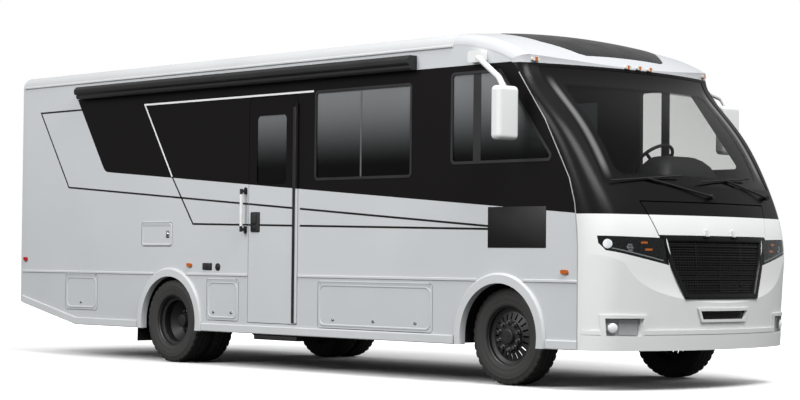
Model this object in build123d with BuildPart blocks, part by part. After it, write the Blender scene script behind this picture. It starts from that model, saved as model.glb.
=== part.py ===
from build123d import *
import os
from math import atan2, cos, sin, sqrt

os.makedirs("parts", exist_ok=True)

# Running gear, millimetres
tyre_diameter = 812
tyre_width = 226
rim_seat_radius = 247
wheelbase = 4530
rear_overhang = 2750
front_overhang = 1380
front_track = 2074
outer_tyre_inset = 20
dual_gap = 30
king_pin_offset = 150
rail_spacing = 860
rail_width = 76
rail_height = 220

# House body
body_width = 2470
wall = 40
skirt_z = 325
tail_z = 545
tail_length = 1068
belt_z = 871
rail_z = 2846
roof_crown_radius = 9900
roof_shoulder = 110
roof_thickness = 50
floor_top = 960
floor_thickness = 60
bumper_depth = 60
cap_wall = 35
nose_crown = 3500
dome_radius = 1740
dome_length = 2000
arch_radius = 440
arch_trim = 85

# Entry door, measured from the rear axle
door_from_axle = 1223
door_width = 706
door_bottom = 430
door_below_rail = 306

# Cab glass, measured from the bumper face and the roof rail
cab_window_back = 1970
cab_window_front_low = 760
cab_window_front_high = 1385
cab_window_bottom = 1840
cab_window_below_rail = 226
room_window_bottom = 1743
room_window_below_rail = 282
window_pillar = 480
door_pillar = 241
window_frame = 24
glass = 6
screen_bottom = 1660
screen_below_rail = 206
screen_half_width = 1068

# Clearances
panel_gap = 6
seat_gap = 0.3
running_gap = 0.05

# Worked out places: front is +X, the entry side is -Y, the ground is z = 0
length = rear_overhang + wheelbase + front_overhang
front_x = length / 2
rear_x = -length / 2
rear_wall_x = rear_x + bumper_depth
rear_axle_x = rear_x + rear_overhang
front_axle_x = rear_axle_x + wheelbase
axle_z = tyre_diameter / 2
half = body_width / 2
inside = half - wall
floor_bottom = floor_top - floor_thickness
rail_bottom = floor_bottom - rail_height
rail_y = rail_spacing / 2
front_wheel_y = front_track / 2
king_pin_y = front_wheel_y - king_pin_offset
outer_tyre_y = half - outer_tyre_inset - tyre_width / 2
inner_tyre_y = outer_tyre_y - tyre_width - dual_gap
dual_y = (outer_tyre_y + inner_tyre_y) / 2
door_back = rear_axle_x + door_from_axle
door_front = door_back + door_width
door_top = rail_z - door_below_rail
cowl_z = screen_bottom + 40
screen_top = rail_z - screen_below_rail
dome_x = front_x - dome_length
cap_back = dome_x + 50
room_window_back = door_front + door_pillar
room_window_front = front_x - cab_window_back - window_pillar


def side_plane(y):
    """Plane facing the entry side: sketch x is X, sketch y is Z, and extrusion goes towards -Y."""
    return Plane(origin=(0, y, 0), x_dir=(1, 0, 0), z_dir=(0, -1, 0))


def front_plane(x):
    """Plane facing forward: sketch x is Y, sketch y is Z, and extrusion goes towards +X."""
    return Plane(origin=(x, 0, 0), x_dir=(0, 1, 0), z_dir=(1, 0, 0))


def axle_plane(x):
    """Plane through an axle line: sketch x is Y, sketch y is the radius."""
    return Plane(origin=(x, 0, axle_z), x_dir=(0, 1, 0), z_dir=(1, 0, 0))


def axle_axis(x):
    return Axis((x, 0, axle_z), (0, 1, 0))


def save(part, label):
    part.label = label
    export_step(part, f"parts/{label}.step")
    print(label, round(part.volume / 1e6, 2), "litres")


def crowned_end(base, tip, width, crown, corner, along_x):
    """Outline of a straight-sided shape that ends in two round corners and a crowned tip."""
    centre = tip - crown
    side = width - corner
    start = centre + sqrt((crown - corner) ** 2 - side ** 2)
    turn = atan2(start - centre, side)
    reach = crown / (crown - corner)
    middle = (start + corner * sin(turn / 2), side + corner * cos(turn / 2))
    meet = (centre + (start - centre) * reach, side * reach)

    def place(along, across):
        return (along, across) if along_x else (across, along)

    with BuildLine() as outline:
        Line(place(base, -width), place(start, -width))
        ThreePointArc(place(start, -width), place(middle[0], -middle[1]), place(meet[0], -meet[1]))
        ThreePointArc(place(meet[0], -meet[1]), place(tip, 0), place(*meet))
        ThreePointArc(place(*meet), place(*middle), place(start, width))
        Line(place(start, width), place(base, width))
        Line(place(base, width), place(base, -width))
    return outline.edges()


def polygon(points):
    with BuildLine() as outline:
        Polyline(*points, close=True)
    return outline.edges()


def both_hands(points):
    """Front-view outline that is the same on both sides, from its corners top to bottom."""
    return polygon([(-y, z) for y, z in points] + [(y, z) for y, z in reversed(points)])


def corners(back, front, bottom, top):
    return [(back, bottom), (front, bottom), (front, top), (back, top)]


# Front moulding, level by level: height, nose set-back from the bumper's face, corner radius
screen_middle = (cowl_z + screen_top) / 2
crease_z, crease_back = cowl_z - 995, 12
front_levels = [
    (skirt_z, crease_back, 300),
    (crease_z, crease_back, 300),
    (cowl_z - 700, 48, 300),
    (cowl_z - 400, 80, 285),
    (cowl_z - 200, 150, 250),
    (cowl_z, 250, 205),
    (screen_middle, 560, 140),
    (screen_top, 955, 120),
    (rail_z + 274, 1380, 120),
]


# Chin below the crease: it leans forwards as it rises and curves more in plan, so the crease climbs outwards
chin_lean, chin_crown, chin_corner, chin_reach = 0.07, 2590, 320, 400


def nose_solid(inset):
    """Plan outlines of the moulded front, lofted upwards, cut by the leaning chin and drawn in by the inset."""
    with BuildPart() as nose:
        for height, set_back, corner in front_levels:
            with BuildSketch(Plane.XY.offset(height)):
                tip = front_x - set_back - inset
                make_face(crowned_end(cap_back, tip, half - inset, nose_crown - inset, corner - inset, True))
        loft()
        with BuildSketch(Plane.XY.offset(skirt_z)):
            tip = front_x - crease_back - chin_lean * (crease_z - skirt_z) - inset
            make_face(crowned_end(cap_back - chin_reach, tip, half + 2 - inset, chin_crown - inset,
                                  chin_corner - inset, True))
        extrude(amount=rail_z + 300 - skirt_z, dir=(chin_lean, 0, 1), mode=Mode.INTERSECT)
    return nose.part


def dome_drop(x):
    return dome_radius - sqrt(dome_radius ** 2 - (x - dome_x) ** 2)


# Roof dome over the cab: how far each cross-section stands ahead of the start of the dome
dome_stations = [40, 300, 550, 800, 1000, 1200]
roof_rise = roof_crown_radius - sqrt(
    (roof_crown_radius - roof_shoulder) ** 2 - (half - roof_shoulder) ** 2)
roof_tip = rail_z + roof_rise


def dome_solid(inset):
    """Roof cross-sections that drop along the dome's arc, lofted forwards, and a block ahead of them."""
    with BuildPart() as dome:
        for ahead in dome_stations:
            x = dome_x + ahead
            tip = roof_tip - inset - dome_drop(x)
            with BuildSketch(front_plane(x)):
                make_face(crowned_end(0, tip, half + 1 - inset, roof_crown_radius, roof_shoulder - inset / 2,
                                      False))
        loft()
        with BuildSketch(front_plane(x)):
            make_face(polygon(corners(-half - 1, half + 1, 0, screen_middle + 350)))
        extrude(amount=front_x + 100 - x)
    return dome.part


# Seam between the side wall and the front moulding
seam_foot = (front_x - 520, skirt_z - 60)
seam_knee = (front_x - 520, cowl_z - 550)
seam_cowl = (front_x - 555, cowl_z - 200)
seam_sill = (front_x - 615, cowl_z)
seam_pillar = (front_x - 883, screen_middle + 10)
seam_brow = (front_x - 1180, rail_z - 266)
seam_bend = (front_x - 1240, rail_z - 197)
seam_crest_x = front_x - 1310
seam_crest = (seam_crest_x, rail_z - dome_drop(seam_crest_x))
seam_shoulder_x = (seam_crest_x + cap_back) / 2
seam_shoulder = (seam_shoulder_x, rail_z - dome_drop(seam_shoulder_x))
seam_end = (cap_back, rail_z)

with BuildPart() as cap_zone:
    with BuildSketch(side_plane(0)):
        with BuildLine():
            Line(seam_foot, seam_knee)
            ThreePointArc(seam_knee, seam_cowl, seam_sill)
            ThreePointArc(seam_sill, seam_pillar, seam_brow)
            ThreePointArc(seam_brow, seam_bend, seam_crest)
            ThreePointArc(seam_crest, seam_shoulder, seam_end)
            Polyline(seam_end, (cap_back, rail_z + 500), (front_x + 200, rail_z + 500),
                     (front_x + 200, skirt_z - 60), seam_foot)
        make_face()
    extrude(amount=body_width, both=True)


# Ladder frame with a tow bar below its rear end: distance of each cross-member from the rear wall
rail_back = rear_wall_x + wall
rail_front = front_x - 450
receiver_z, receiver_outer, receiver_bore = 490, 76, 51
bar_x, bar_half = rear_wall_x + 260, 40
cross_member_places = [120, 1450, 3900, 5600, 8100]
with BuildPart() as chassis_frame:
    for hand in (-1, 1):
        with BuildSketch(Plane.XY.offset(rail_bottom)):
            with Locations(((rail_back + rail_front) / 2, hand * rail_y)):
                Rectangle(rail_front - rail_back, rail_width)
        extrude(amount=rail_height)
        with BuildSketch(Plane.XY.offset(rail_bottom + 12)):
            with Locations(((rail_back + rail_front) / 2, hand * (rail_y - 12))):
                Rectangle(rail_front - rail_back + 10, rail_width)
        extrude(amount=rail_height - 24, mode=Mode.SUBTRACT)
    for place in cross_member_places:
        with BuildSketch(Plane.XY.offset(rail_bottom + 40)):
            with Locations((rear_wall_x + place, 0)):
                Rectangle(80, rail_spacing + rail_width - 24)
        extrude(amount=120)
    for hand in (-1, 1):
        with BuildSketch(side_plane(hand * rail_y + rail_width / 2)):
            make_face(polygon([(bar_x - bar_half, receiver_z - receiver_outer / 2),
                               (bar_x + bar_half, receiver_z - receiver_outer / 2),
                               (bar_x + 120, rail_bottom), (bar_x - 120, rail_bottom)]))
        extrude(amount=rail_width)
    with BuildSketch(side_plane(rail_y)):
        with Locations((bar_x, receiver_z)):
            RectangleRounded(2 * bar_half, receiver_outer, 8)
    extrude(amount=2 * rail_y)
save(chassis_frame.part, "chassis_frame")

# Engine and gearbox: one plain block, carried by four arms that reach the frame rails
engine_back, engine_front = front_axle_x + 80, front_x - 560
engine_bottom, engine_top, engine_half = 480, 1130, 300
shaft_z = axle_z + 40
gearbox_back = engine_back - 850
with BuildPart() as engine_and_gearbox:
    with BuildSketch(side_plane(engine_half)):
        make_face(polygon(corners(engine_back, engine_front, engine_bottom, engine_top)))
    extrude(amount=2 * engine_half)
    with BuildSketch(side_plane(170)):
        make_face(polygon(corners(gearbox_back, engine_back, shaft_z - 70, shaft_z + 200)))
    extrude(amount=340)
    for x in (engine_back + 150, engine_front - 150):
        with BuildSketch(side_plane(rail_y - rail_width / 2)):
            make_face(polygon(corners(x - 50, x + 50, rail_bottom + 20, rail_bottom + 90)))
        extrude(amount=2 * rail_y - rail_width)
save(engine_and_gearbox.part, "engine_and_gearbox")

# Rear axle: tubes, differential housing and the spindles inside the hubs
axle_tube_radius, spindle_radius = 65, 45
hub_inner_y, hub_outer_y = dual_y - 74, dual_y + 110
differential_radius = 180
with BuildPart() as rear_axle:
    with BuildSketch(axle_plane(rear_axle_x)):
        make_face(polygon([
            (-hub_outer_y + 26, 0), (-hub_outer_y + 26, spindle_radius), (-hub_inner_y + 10, spindle_radius),
            (-hub_inner_y + 10, axle_tube_radius), (-230, axle_tube_radius), (-110, differential_radius),
            (110, differential_radius), (230, axle_tube_radius), (hub_inner_y - 10, axle_tube_radius),
            (hub_inner_y - 10, spindle_radius), (hub_outer_y - 26, spindle_radius), (hub_outer_y - 26, 0)]))
    revolve(axis=axle_axis(rear_axle_x))
    with BuildSketch(front_plane(rear_axle_x + 120)):
        with Locations((0, shaft_z)):
            Circle(70)
    extrude(amount=180)
save(rear_axle.part, "rear_axle")

with BuildPart() as propeller_shaft:
    with BuildSketch(front_plane(rear_axle_x + 300)):
        with Locations((0, shaft_z)):
            Circle(45)
    extrude(amount=gearbox_back - rear_axle_x - 300)
save(propeller_shaft.part, "propeller_shaft")

# Front beam axle with a king pin eye at each end
eye_radius, king_pin_radius, eye_height = 45, 20, 120
beam_depth, beam_drop, beam_half = 90, 80, 40
beam_end = king_pin_y - eye_radius / 2
with BuildPart() as front_axle:
    with BuildSketch(front_plane(front_axle_x - beam_depth / 2)):
        beam_top = [(-beam_end, 0), (-beam_end + 110, 0), (-beam_end + 280, -beam_drop),
                    (beam_end - 280, -beam_drop), (beam_end - 110, 0), (beam_end, 0)]
        make_face(polygon([(y, axle_z + beam_half + z) for y, z in beam_top]
                          + [(y, axle_z - beam_half + z) for y, z in reversed(beam_top)]))
    extrude(amount=beam_depth)
    with BuildSketch(Plane.XY.offset(axle_z - eye_height / 2)):
        with Locations((front_axle_x, king_pin_y), (front_axle_x, -king_pin_y)):
            Circle(eye_radius)
    extrude(amount=eye_height)
    with BuildSketch(Plane.XY.offset(axle_z - eye_height / 2)):
        with Locations((front_axle_x, king_pin_y), (front_axle_x, -king_pin_y)):
            Circle(king_pin_radius + running_gap)
    extrude(amount=eye_height, mode=Mode.SUBTRACT)
save(front_axle.part, "front_axle")

# Leaf springs: axle place and the height of the seat that each spring pack rests on
spring_half, spring_width, spring_stack = 620, 70, 60
spring_seats = [(front_axle_x, axle_z + beam_half - beam_drop), (rear_axle_x, axle_z + axle_tube_radius)]
with BuildPart() as leaf_springs:
    for axle_x, seat_z in spring_seats:
        for hand in (-1, 1):
            with BuildSketch(side_plane(hand * rail_y + spring_width / 2)):
                with BuildLine():
                    low = seat_z
                    eye_z = rail_bottom - 60
                    Line((axle_x - 60, low), (axle_x + 60, low))
                    Line((axle_x + 60, low), (axle_x + spring_half, eye_z - 20))
                    Line((axle_x + spring_half, eye_z - 20), (axle_x + spring_half, rail_bottom))
                    Line((axle_x + spring_half, rail_bottom), (axle_x + spring_half - 60, rail_bottom))
                    Line((axle_x + spring_half - 60, rail_bottom), (axle_x + spring_half - 60, eye_z))
                    Line((axle_x + spring_half - 60, eye_z), (axle_x, low + spring_stack))
                    Line((axle_x, low + spring_stack), (axle_x - spring_half + 60, eye_z))
                    Line((axle_x - spring_half + 60, eye_z), (axle_x - spring_half + 60, rail_bottom))
                    Line((axle_x - spring_half + 60, rail_bottom), (axle_x - spring_half, rail_bottom))
                    Line((axle_x - spring_half, rail_bottom), (axle_x - spring_half, eye_z - 20))
                    Line((axle_x - spring_half, eye_z - 20), (axle_x - 60, low))
                make_face()
            extrude(amount=spring_width)
save(leaf_springs.part, "leaf_springs")

# Steering knuckles: king pin, two ears, a back plate and the spindle
ear_radius, ear_thickness = 48, 16
ear_z = eye_height / 2 + seat_gap
plate_y = king_pin_y + ear_radius
wheel_spindle_radius = 35
spindle_tip_y = front_wheel_y + 48


def knuckle(hand):
    with BuildPart() as part:
        with BuildSketch(Plane.XY.offset(axle_z - ear_z - ear_thickness)):
            with Locations((front_axle_x, hand * king_pin_y)):
                Circle(king_pin_radius)
        extrude(amount=2 * (ear_z + ear_thickness))
        for low in (axle_z - ear_z - ear_thickness, axle_z + ear_z):
            with BuildSketch(Plane.XY.offset(low)):
                with Locations((front_axle_x, hand * king_pin_y)):
                    Circle(ear_radius)
                with Locations((front_axle_x, hand * (king_pin_y + 35))):
                    Rectangle(2 * ear_radius, 70)
            extrude(amount=ear_thickness)
        with BuildSketch(Plane.XY.offset(axle_z - ear_z - ear_thickness)):
            with Locations((front_axle_x, hand * (plate_y + 11))):
                Rectangle(2 * ear_radius, 22)
        extrude(amount=2 * (ear_z + ear_thickness))
        with BuildSketch(Plane(origin=(front_axle_x, hand * plate_y, axle_z), z_dir=(0, hand, 0))):
            Circle(wheel_spindle_radius)
        extrude(amount=spindle_tip_y - plate_y)
    return part.part


save(knuckle(-1), "knuckle_right")
save(knuckle(1), "knuckle_left")

# Tyre section from the bead outwards: distance from the tyre's middle plane, radius
tyre_radius = tyre_diameter / 2
half_tyre = tyre_width / 2
tyre_section = [
    (half_tyre - 43, rim_seat_radius + seat_gap),
    (half_tyre - 41, rim_seat_radius + 15.6),
    (half_tyre - 26, rim_seat_radius + 19),
    (half_tyre - 6, rim_seat_radius + 50),
    (half_tyre, rim_seat_radius + 82),
    (half_tyre - 5, tyre_radius - 32),
    (half_tyre - 20, tyre_radius - 8),
    (half_tyre - 46, tyre_radius),
]


def tyre_ring(axle_x, middle_y):
    """Edges of one tyre's section in the axle plane."""
    section = [(middle_y + o, r) for o, r in tyre_section]
    section += [(middle_y - o, r) for o, r in reversed(tyre_section)]
    return polygon(section)


def tyres(axle_x, places):
    with BuildPart() as part:
        with BuildSketch(axle_plane(axle_x)):
            for middle_y in places:
                make_face(tyre_ring(axle_x, middle_y))
        revolve(axis=axle_axis(axle_x))
    return part.part


save(tyres(front_axle_x, [-front_wheel_y]), "tyre_front_right")
save(tyres(front_axle_x, [front_wheel_y]), "tyre_front_left")
save(tyres(rear_axle_x, [-outer_tyre_y, -inner_tyre_y]), "tyres_rear_right")
save(tyres(rear_axle_x, [outer_tyre_y, inner_tyre_y]), "tyres_rear_left")

# Rim section: distance from the middle plane and radius, outer side then barrel side
rim_outside = [(-82, 15), (-74, 15), (-70, 0), (-45, -2), (-35, -32), (35, -32), (45, -2), (70, 0), (74, 15), (82, 15)]
rim_inside = [(82, 3), (75, -8), (50, -11), (40, -41), (-40, -41), (-50, -11), (-75, -8), (-82, 3)]
disc_radius = rim_seat_radius - 36
slot_count = 20


def rim(middle_y, hand):
    return polygon([(middle_y + hand * o, rim_seat_radius + r) for o, r in rim_outside + rim_inside])


def front_wheel(hand):
    middle = hand * front_wheel_y
    with BuildPart() as part:
        with BuildSketch(axle_plane(front_axle_x)):
            make_face(rim(middle, hand))
            make_face(polygon([(middle + hand * o, r) for o, r in [
                (-58, wheel_spindle_radius + running_gap), (50, wheel_spindle_radius + running_gap), (50, 0),
                (100, 0), (100, 48), (82, 62), (78, 118), (60, 128), (38, disc_radius), (26, disc_radius),
                (48, 120), (40, 62), (-58, 62)]]))
        revolve(axis=axle_axis(front_axle_x))
        with BuildSketch(Plane(origin=(front_axle_x, middle, axle_z), x_dir=(1, 0, 0), z_dir=(0, hand, 0))):
            with PolarLocations(166, slot_count):
                SlotOverall(56, 15)
        extrude(amount=80, mode=Mode.SUBTRACT)
    return part.part


def rear_wheels(hand):
    with BuildPart() as part:
        with BuildSketch(axle_plane(rear_axle_x)):
            make_face(rim(hand * outer_tyre_y, hand))
            make_face(rim(hand * inner_tyre_y, hand))
            for side, reach in ((1, outer_tyre_y - dual_y), (-1, inner_tyre_y - dual_y)):
                make_face(polygon([(hand * (dual_y + o), r) for o, r in [
                    (0, 78), (side * 14, 78), (side * 14, 130), (reach - side * 26, disc_radius),
                    (reach - side * 38, disc_radius), (0, 120)]]))
            make_face(polygon([(hand * y, r) for y, r in [
                (hub_inner_y, spindle_radius + running_gap), (hub_outer_y - 22, spindle_radius + running_gap),
                (hub_outer_y - 22, 0), (hub_outer_y, 0), (hub_outer_y, 62), (hub_outer_y - 60, 84),
                (hub_inner_y, 84)]]))
        revolve(axis=axle_axis(rear_axle_x))
    return part.part


save(front_wheel(-1), "wheel_front_right")
save(front_wheel(1), "wheel_front_left")
save(rear_wheels(-1), "wheels_rear_right")
save(rear_wheels(1), "wheels_rear_left")

# Fuel tank between the frame rails, hung from their webs
tank_back, tank_length, tank_bottom = rear_axle_x - 1150, 700, 470
with BuildPart() as fuel_tank:
    with BuildSketch(side_plane(rail_y - rail_width / 2 - 60)):
        with Locations((tank_back + tank_length / 2, (tank_bottom + rail_bottom + 30) / 2)):
            RectangleRounded(tank_length, rail_bottom + 30 - tank_bottom, 60)
    extrude(amount=2 * rail_y - rail_width - 120)
    with BuildSketch(side_plane(rail_y - rail_width / 2)):
        with Locations((tank_back + 150, rail_bottom - 20), (tank_back + tank_length - 150, rail_bottom - 20)):
            Rectangle(60, 80)
    extrude(amount=2 * rail_y - rail_width)
save(fuel_tank.part, "fuel_tank")

# Exhaust: silencer, two pipes and straps up to the floor
pipe_y, pipe_z, pipe_radius, silencer_radius = rail_y - 190, 600, 35, 95
pipe_front, pipe_back = engine_back - seat_gap, door_front + 250
with BuildPart() as exhaust:
    with BuildSketch(front_plane(pipe_back)):
        with Locations((pipe_y, pipe_z)):
            Circle(pipe_radius)
    extrude(amount=pipe_front - pipe_back)
    with BuildSketch(front_plane(pipe_back + 150)):
        with Locations((pipe_y, pipe_z)):
            Circle(silencer_radius)
    extrude(amount=650)
    with BuildSketch(front_plane(pipe_back + 250)):
        with Locations((pipe_y, (pipe_z + floor_bottom) / 2)):
            Rectangle(30, floor_bottom - pipe_z)
    extrude(amount=30)
    with BuildSketch(front_plane(pipe_back + 560)):
        with Locations((pipe_y, (pipe_z + floor_bottom) / 2)):
            Rectangle(30, floor_bottom - pipe_z)
    extrude(amount=30)
save(exhaust.part, "exhaust")

# Side openings: name, back edge, front edge, bottom, top
arch_back_edge = front_axle_x - arch_radius - arch_trim
baggage_top = belt_z - 49
right_lids = [
    ("baggage_door_rear_right", rear_wall_x + 862, rear_wall_x + 1439, 483, belt_z - 30),
    ("baggage_door_mid_right", rear_axle_x + 592, rear_axle_x + 1080, 436, baggage_top),
    ("baggage_door_long_right", door_front + 306, arch_back_edge - 274, 410, baggage_top),
]
left_lids = [
    ("baggage_door_rear_left", rear_wall_x + 862, rear_wall_x + 1439, 483, belt_z - 30),
    ("baggage_door_long_left", door_front + 306, arch_back_edge - 274, 410, baggage_top),
]
hatch = ("service_hatch", rear_axle_x - 484, rear_axle_x + 23, belt_z + 274, belt_z + 504)
lid_hinge_radius = 5
lid_corner = 30
lid_hinge_y = -half - lid_hinge_radius - seat_gap
lid_hinge_rise = panel_gap + 1


def lid_sketch(lid, grow):
    name, back, front, bottom, top = lid
    with BuildSketch() as sketch:
        with Locations(((back + front) / 2, (bottom + top) / 2)):
            RectangleRounded(front - back + 2 * grow, top - bottom + 2 * grow, lid_corner + grow)
    return sketch.sketch


def lid_panel(lid, hand):
    """Flush lid with a hinge barrel along its top edge."""
    name, back, front, bottom, top = lid
    with BuildPart() as part:
        with BuildSketch(side_plane(-inside)):
            add(lid_sketch(lid, 0))
        extrude(amount=wall)
        with BuildSketch(front_plane(back + lid_corner)):
            with Locations((lid_hinge_y, top + lid_hinge_rise)):
                Circle(lid_hinge_radius)
            make_face(polygon([(-half, top - 30), (-half, top), (lid_hinge_y + 3, top + lid_hinge_rise),
                               (lid_hinge_y - 3, top + lid_hinge_rise), (-half - 3, top - 30)]))
        extrude(amount=front - back - 2 * lid_corner)
    if hand < 0:
        return part.part
    with BuildPart() as mirrored_part:
        mirror(part.part, about=Plane.XZ)
    return mirrored_part.part


for lid in right_lids + [hatch]:
    save(lid_panel(lid, -1), lid[0])
for lid in left_lids:
    save(lid_panel(lid, 1), lid[0])

# Thin-walled baggage boxes behind the lids, closed above by the floor
box_wall = 12
box_inner_y = rail_y + rail_width / 2 + 20
with BuildPart() as baggage_boxes:
    for lids, hand in ((right_lids, -1), (left_lids, 1)):
        for name, back, front, bottom, top in lids:
            outer = corners(back - box_wall, front + box_wall, bottom - box_wall, floor_bottom)
            hollow = corners(back, front, bottom, floor_bottom)
            with BuildSketch(side_plane(hand * inside if hand > 0 else -box_inner_y)):
                make_face(polygon(outer))
            extrude(amount=inside - box_inner_y)
            start = inside if hand > 0 else -box_inner_y - box_wall
            with BuildSketch(side_plane(start)):
                make_face(polygon(hollow))
            extrude(amount=inside - box_inner_y - box_wall, mode=Mode.SUBTRACT)
save(baggage_boxes.part, "baggage_boxes")

# Walls: the skirt below the belt line and the laminated wall above it
tail_kink_x = rear_wall_x + tail_length
wall_back = rear_wall_x + wall
tail_back_z = tail_z - (tail_z - skirt_z) * wall / tail_length
door_jamb = corners(door_back - panel_gap, door_front + panel_gap, door_bottom - panel_gap, door_top + panel_gap)
door_corner = 70


def arch_cut(axle_x):
    with BuildSketch() as sketch:
        with Locations((axle_x, axle_z)):
            Circle(arch_radius)
        with Locations((axle_x, axle_z / 2)):
            Rectangle(2 * arch_radius, axle_z)
    return sketch.sketch


def skirt(lids, doorway):
    with BuildPart() as part:
        with BuildSketch(side_plane(-inside)):
            make_face(polygon([(wall_back, tail_back_z), (tail_kink_x, skirt_z), (front_x, skirt_z),
                               (front_x, belt_z), (wall_back, belt_z)]))
            for axle_x in (rear_axle_x, front_axle_x):
                add(arch_cut(axle_x), mode=Mode.SUBTRACT)
            for lid in lids:
                add(lid_sketch(lid, panel_gap), mode=Mode.SUBTRACT)
            if doorway:
                make_face(polygon(door_jamb), mode=Mode.SUBTRACT)
        extrude(amount=wall)
        add(cap_zone.part, mode=Mode.SUBTRACT)
    return part.part


def door_sketch(grow):
    with BuildSketch() as sketch:
        make_face(polygon(corners(door_back - grow, door_front + grow, door_bottom - grow, door_top + grow)))
        fillet(sketch.vertices().group_by(Axis.Y)[-1], radius=door_corner + grow)
    return sketch.sketch


cab_window_top = rail_z - cab_window_below_rail
room_window_top = rail_z - room_window_below_rail
window_corner = 45
cab_window = [
    (front_x - cab_window_back, cab_window_bottom), (front_x - cab_window_front_low, cab_window_bottom),
    (front_x - cab_window_front_high, cab_window_top), (front_x - cab_window_back, cab_window_top)]
room_window = corners(room_window_back, room_window_front, room_window_bottom, room_window_top)
bed_window = corners(rear_wall_x + 700, rear_wall_x + 1500, room_window_bottom + 150, room_window_top)
right_windows = [cab_window, room_window]
left_windows = [cab_window, room_window, bed_window]


def window_sketch(points, shrink):
    with BuildSketch() as sketch:
        make_face(polygon(points))
        fillet(sketch.vertices(), radius=window_corner)
        if shrink:
            offset(amount=-shrink, mode=Mode.REPLACE)
    return sketch.sketch


def upper_wall(windows, lids, doorway):
    with BuildPart() as part:
        with BuildSketch(side_plane(-inside)):
            make_face(polygon(corners(wall_back, front_x, belt_z, rail_z)))
            for points in windows:
                add(window_sketch(points, 0), mode=Mode.SUBTRACT)
            for lid in lids:
                add(lid_sketch(lid, panel_gap), mode=Mode.SUBTRACT)
            if doorway:
                add(door_sketch(panel_gap), mode=Mode.SUBTRACT)
        extrude(amount=wall)
        add(cap_zone.part, mode=Mode.SUBTRACT)
    return part.part


def other_hand(part):
    with BuildPart() as mirrored_part:
        mirror(part, about=Plane.XZ)
    return mirrored_part.part


save(skirt(right_lids, True), "right_skirt")
save(other_hand(skirt(left_lids, False)), "left_skirt")
save(upper_wall(right_windows, [hatch], True), "right_wall")
save(other_hand(upper_wall(left_windows, [], False)), "left_wall")

# Window frames and panes: each frame lines its opening and stands a little proud
frame_proud = 4
pane_inset = 8


def window_parts(windows, hand):
    frames, panes = [], []
    for points in windows:
        with BuildPart() as frame:
            with BuildSketch(side_plane(-inside)):
                add(window_sketch(points, 0))
                add(window_sketch(points, window_frame), mode=Mode.SUBTRACT)
            extrude(amount=wall + frame_proud)
        with BuildPart() as pane:
            with BuildSketch(side_plane(-half + pane_inset + glass)):
                add(window_sketch(points, window_frame))
            extrude(amount=glass)
        frames.append(frame.part if hand < 0 else other_hand(frame.part))
        panes.append(pane.part if hand < 0 else other_hand(pane.part))
    return frames, panes


right_frames, right_panes = window_parts(right_windows, -1)
left_frames, left_panes = window_parts(left_windows, 1)
with BuildPart() as window_frames:
    add(right_frames + left_frames)
save(window_frames.part, "window_frames")
with BuildPart() as side_windows:
    add(right_panes + left_panes)
save(side_windows.part, "side_windows")

# Entry door with its window and the hinge barrel along its front edge
door_window = corners(door_back + 113, door_back + 543, rail_z - 1125, rail_z - 476)
door_hinge_radius = 9
door_hinge_x = door_front + panel_gap + 1
door_hinge_y = -half - door_hinge_radius - seat_gap
with BuildPart() as entry_door:
    with BuildSketch(side_plane(-inside)):
        add(door_sketch(0))
        add(window_sketch(door_window, 0), mode=Mode.SUBTRACT)
    extrude(amount=wall)
    with BuildSketch(Plane.XY.offset(door_bottom + 10)):
        with Locations((door_hinge_x, door_hinge_y)):
            Circle(door_hinge_radius)
        make_face(polygon([(door_front - 40, -half), (door_front, -half), (door_hinge_x, door_hinge_y + 5),
                           (door_hinge_x, door_hinge_y - 5), (door_front - 40, -half - 4)]))
    extrude(amount=door_top - door_bottom - door_corner - 20)
save(entry_door.part, "entry_door")
with BuildPart() as entry_door_glass:
    with BuildSketch(side_plane(-half + pane_inset + glass)):
        add(window_sketch(door_window, 0))
    extrude(amount=glass)
save(entry_door_glass.part, "entry_door_glass")

# Floor with the stair well and the engine bay cut out
stair_inner_y = half - 700
with BuildPart() as body_floor:
    with BuildSketch(Plane.XY.offset(floor_bottom)):
        make_face(polygon([(wall_back, -inside), (front_x - 560, -inside), (front_x - 560, inside),
                           (wall_back, inside)]))
        make_face(polygon([(door_back - 20, -inside - 10), (door_front + 20, -inside - 10),
                           (door_front + 20, -stair_inner_y), (door_back - 20, -stair_inner_y)]),
                  mode=Mode.SUBTRACT)
        make_face(polygon([(engine_back - 40, -engine_half - 40), (front_x, -engine_half - 40),
                           (front_x, engine_half + 40), (engine_back - 40, engine_half + 40)]),
                  mode=Mode.SUBTRACT)
    extrude(amount=floor_thickness)
save(body_floor.part, "body_floor")

# Entry stairs: bottom landing, one step, the riser up to the floor and two runners for the slide-out step
step_rise = (floor_top - door_bottom) / 2
runner_thickness, step_top, step_thickness = 15, skirt_z - 7, 46
runner_low = step_top - 40
with BuildPart() as entry_stairs:
    with BuildSketch(front_plane(door_back - 20)):
        make_face(polygon([(-inside, door_bottom), (-stair_inner_y, door_bottom), (-stair_inner_y, floor_top),
                           (-stair_inner_y - 15, floor_top), (-stair_inner_y - 15, door_bottom + step_rise),
                           (-stair_inner_y - 270, door_bottom + step_rise),
                           (-stair_inner_y - 270, door_bottom + 15), (-inside, door_bottom + 15)]))
    extrude(amount=door_width + 40)
    for x in (door_back + 75, door_front + 20 - runner_thickness):
        with BuildSketch(front_plane(x)):
            make_face(polygon([(-inside + 45, runner_low), (-stair_inner_y - 20, runner_low),
                               (-stair_inner_y - 20, door_bottom + 5), (-inside + 45, door_bottom + 5)]))
        extrude(amount=runner_thickness)
save(entry_stairs.part, "entry_stairs")

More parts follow.
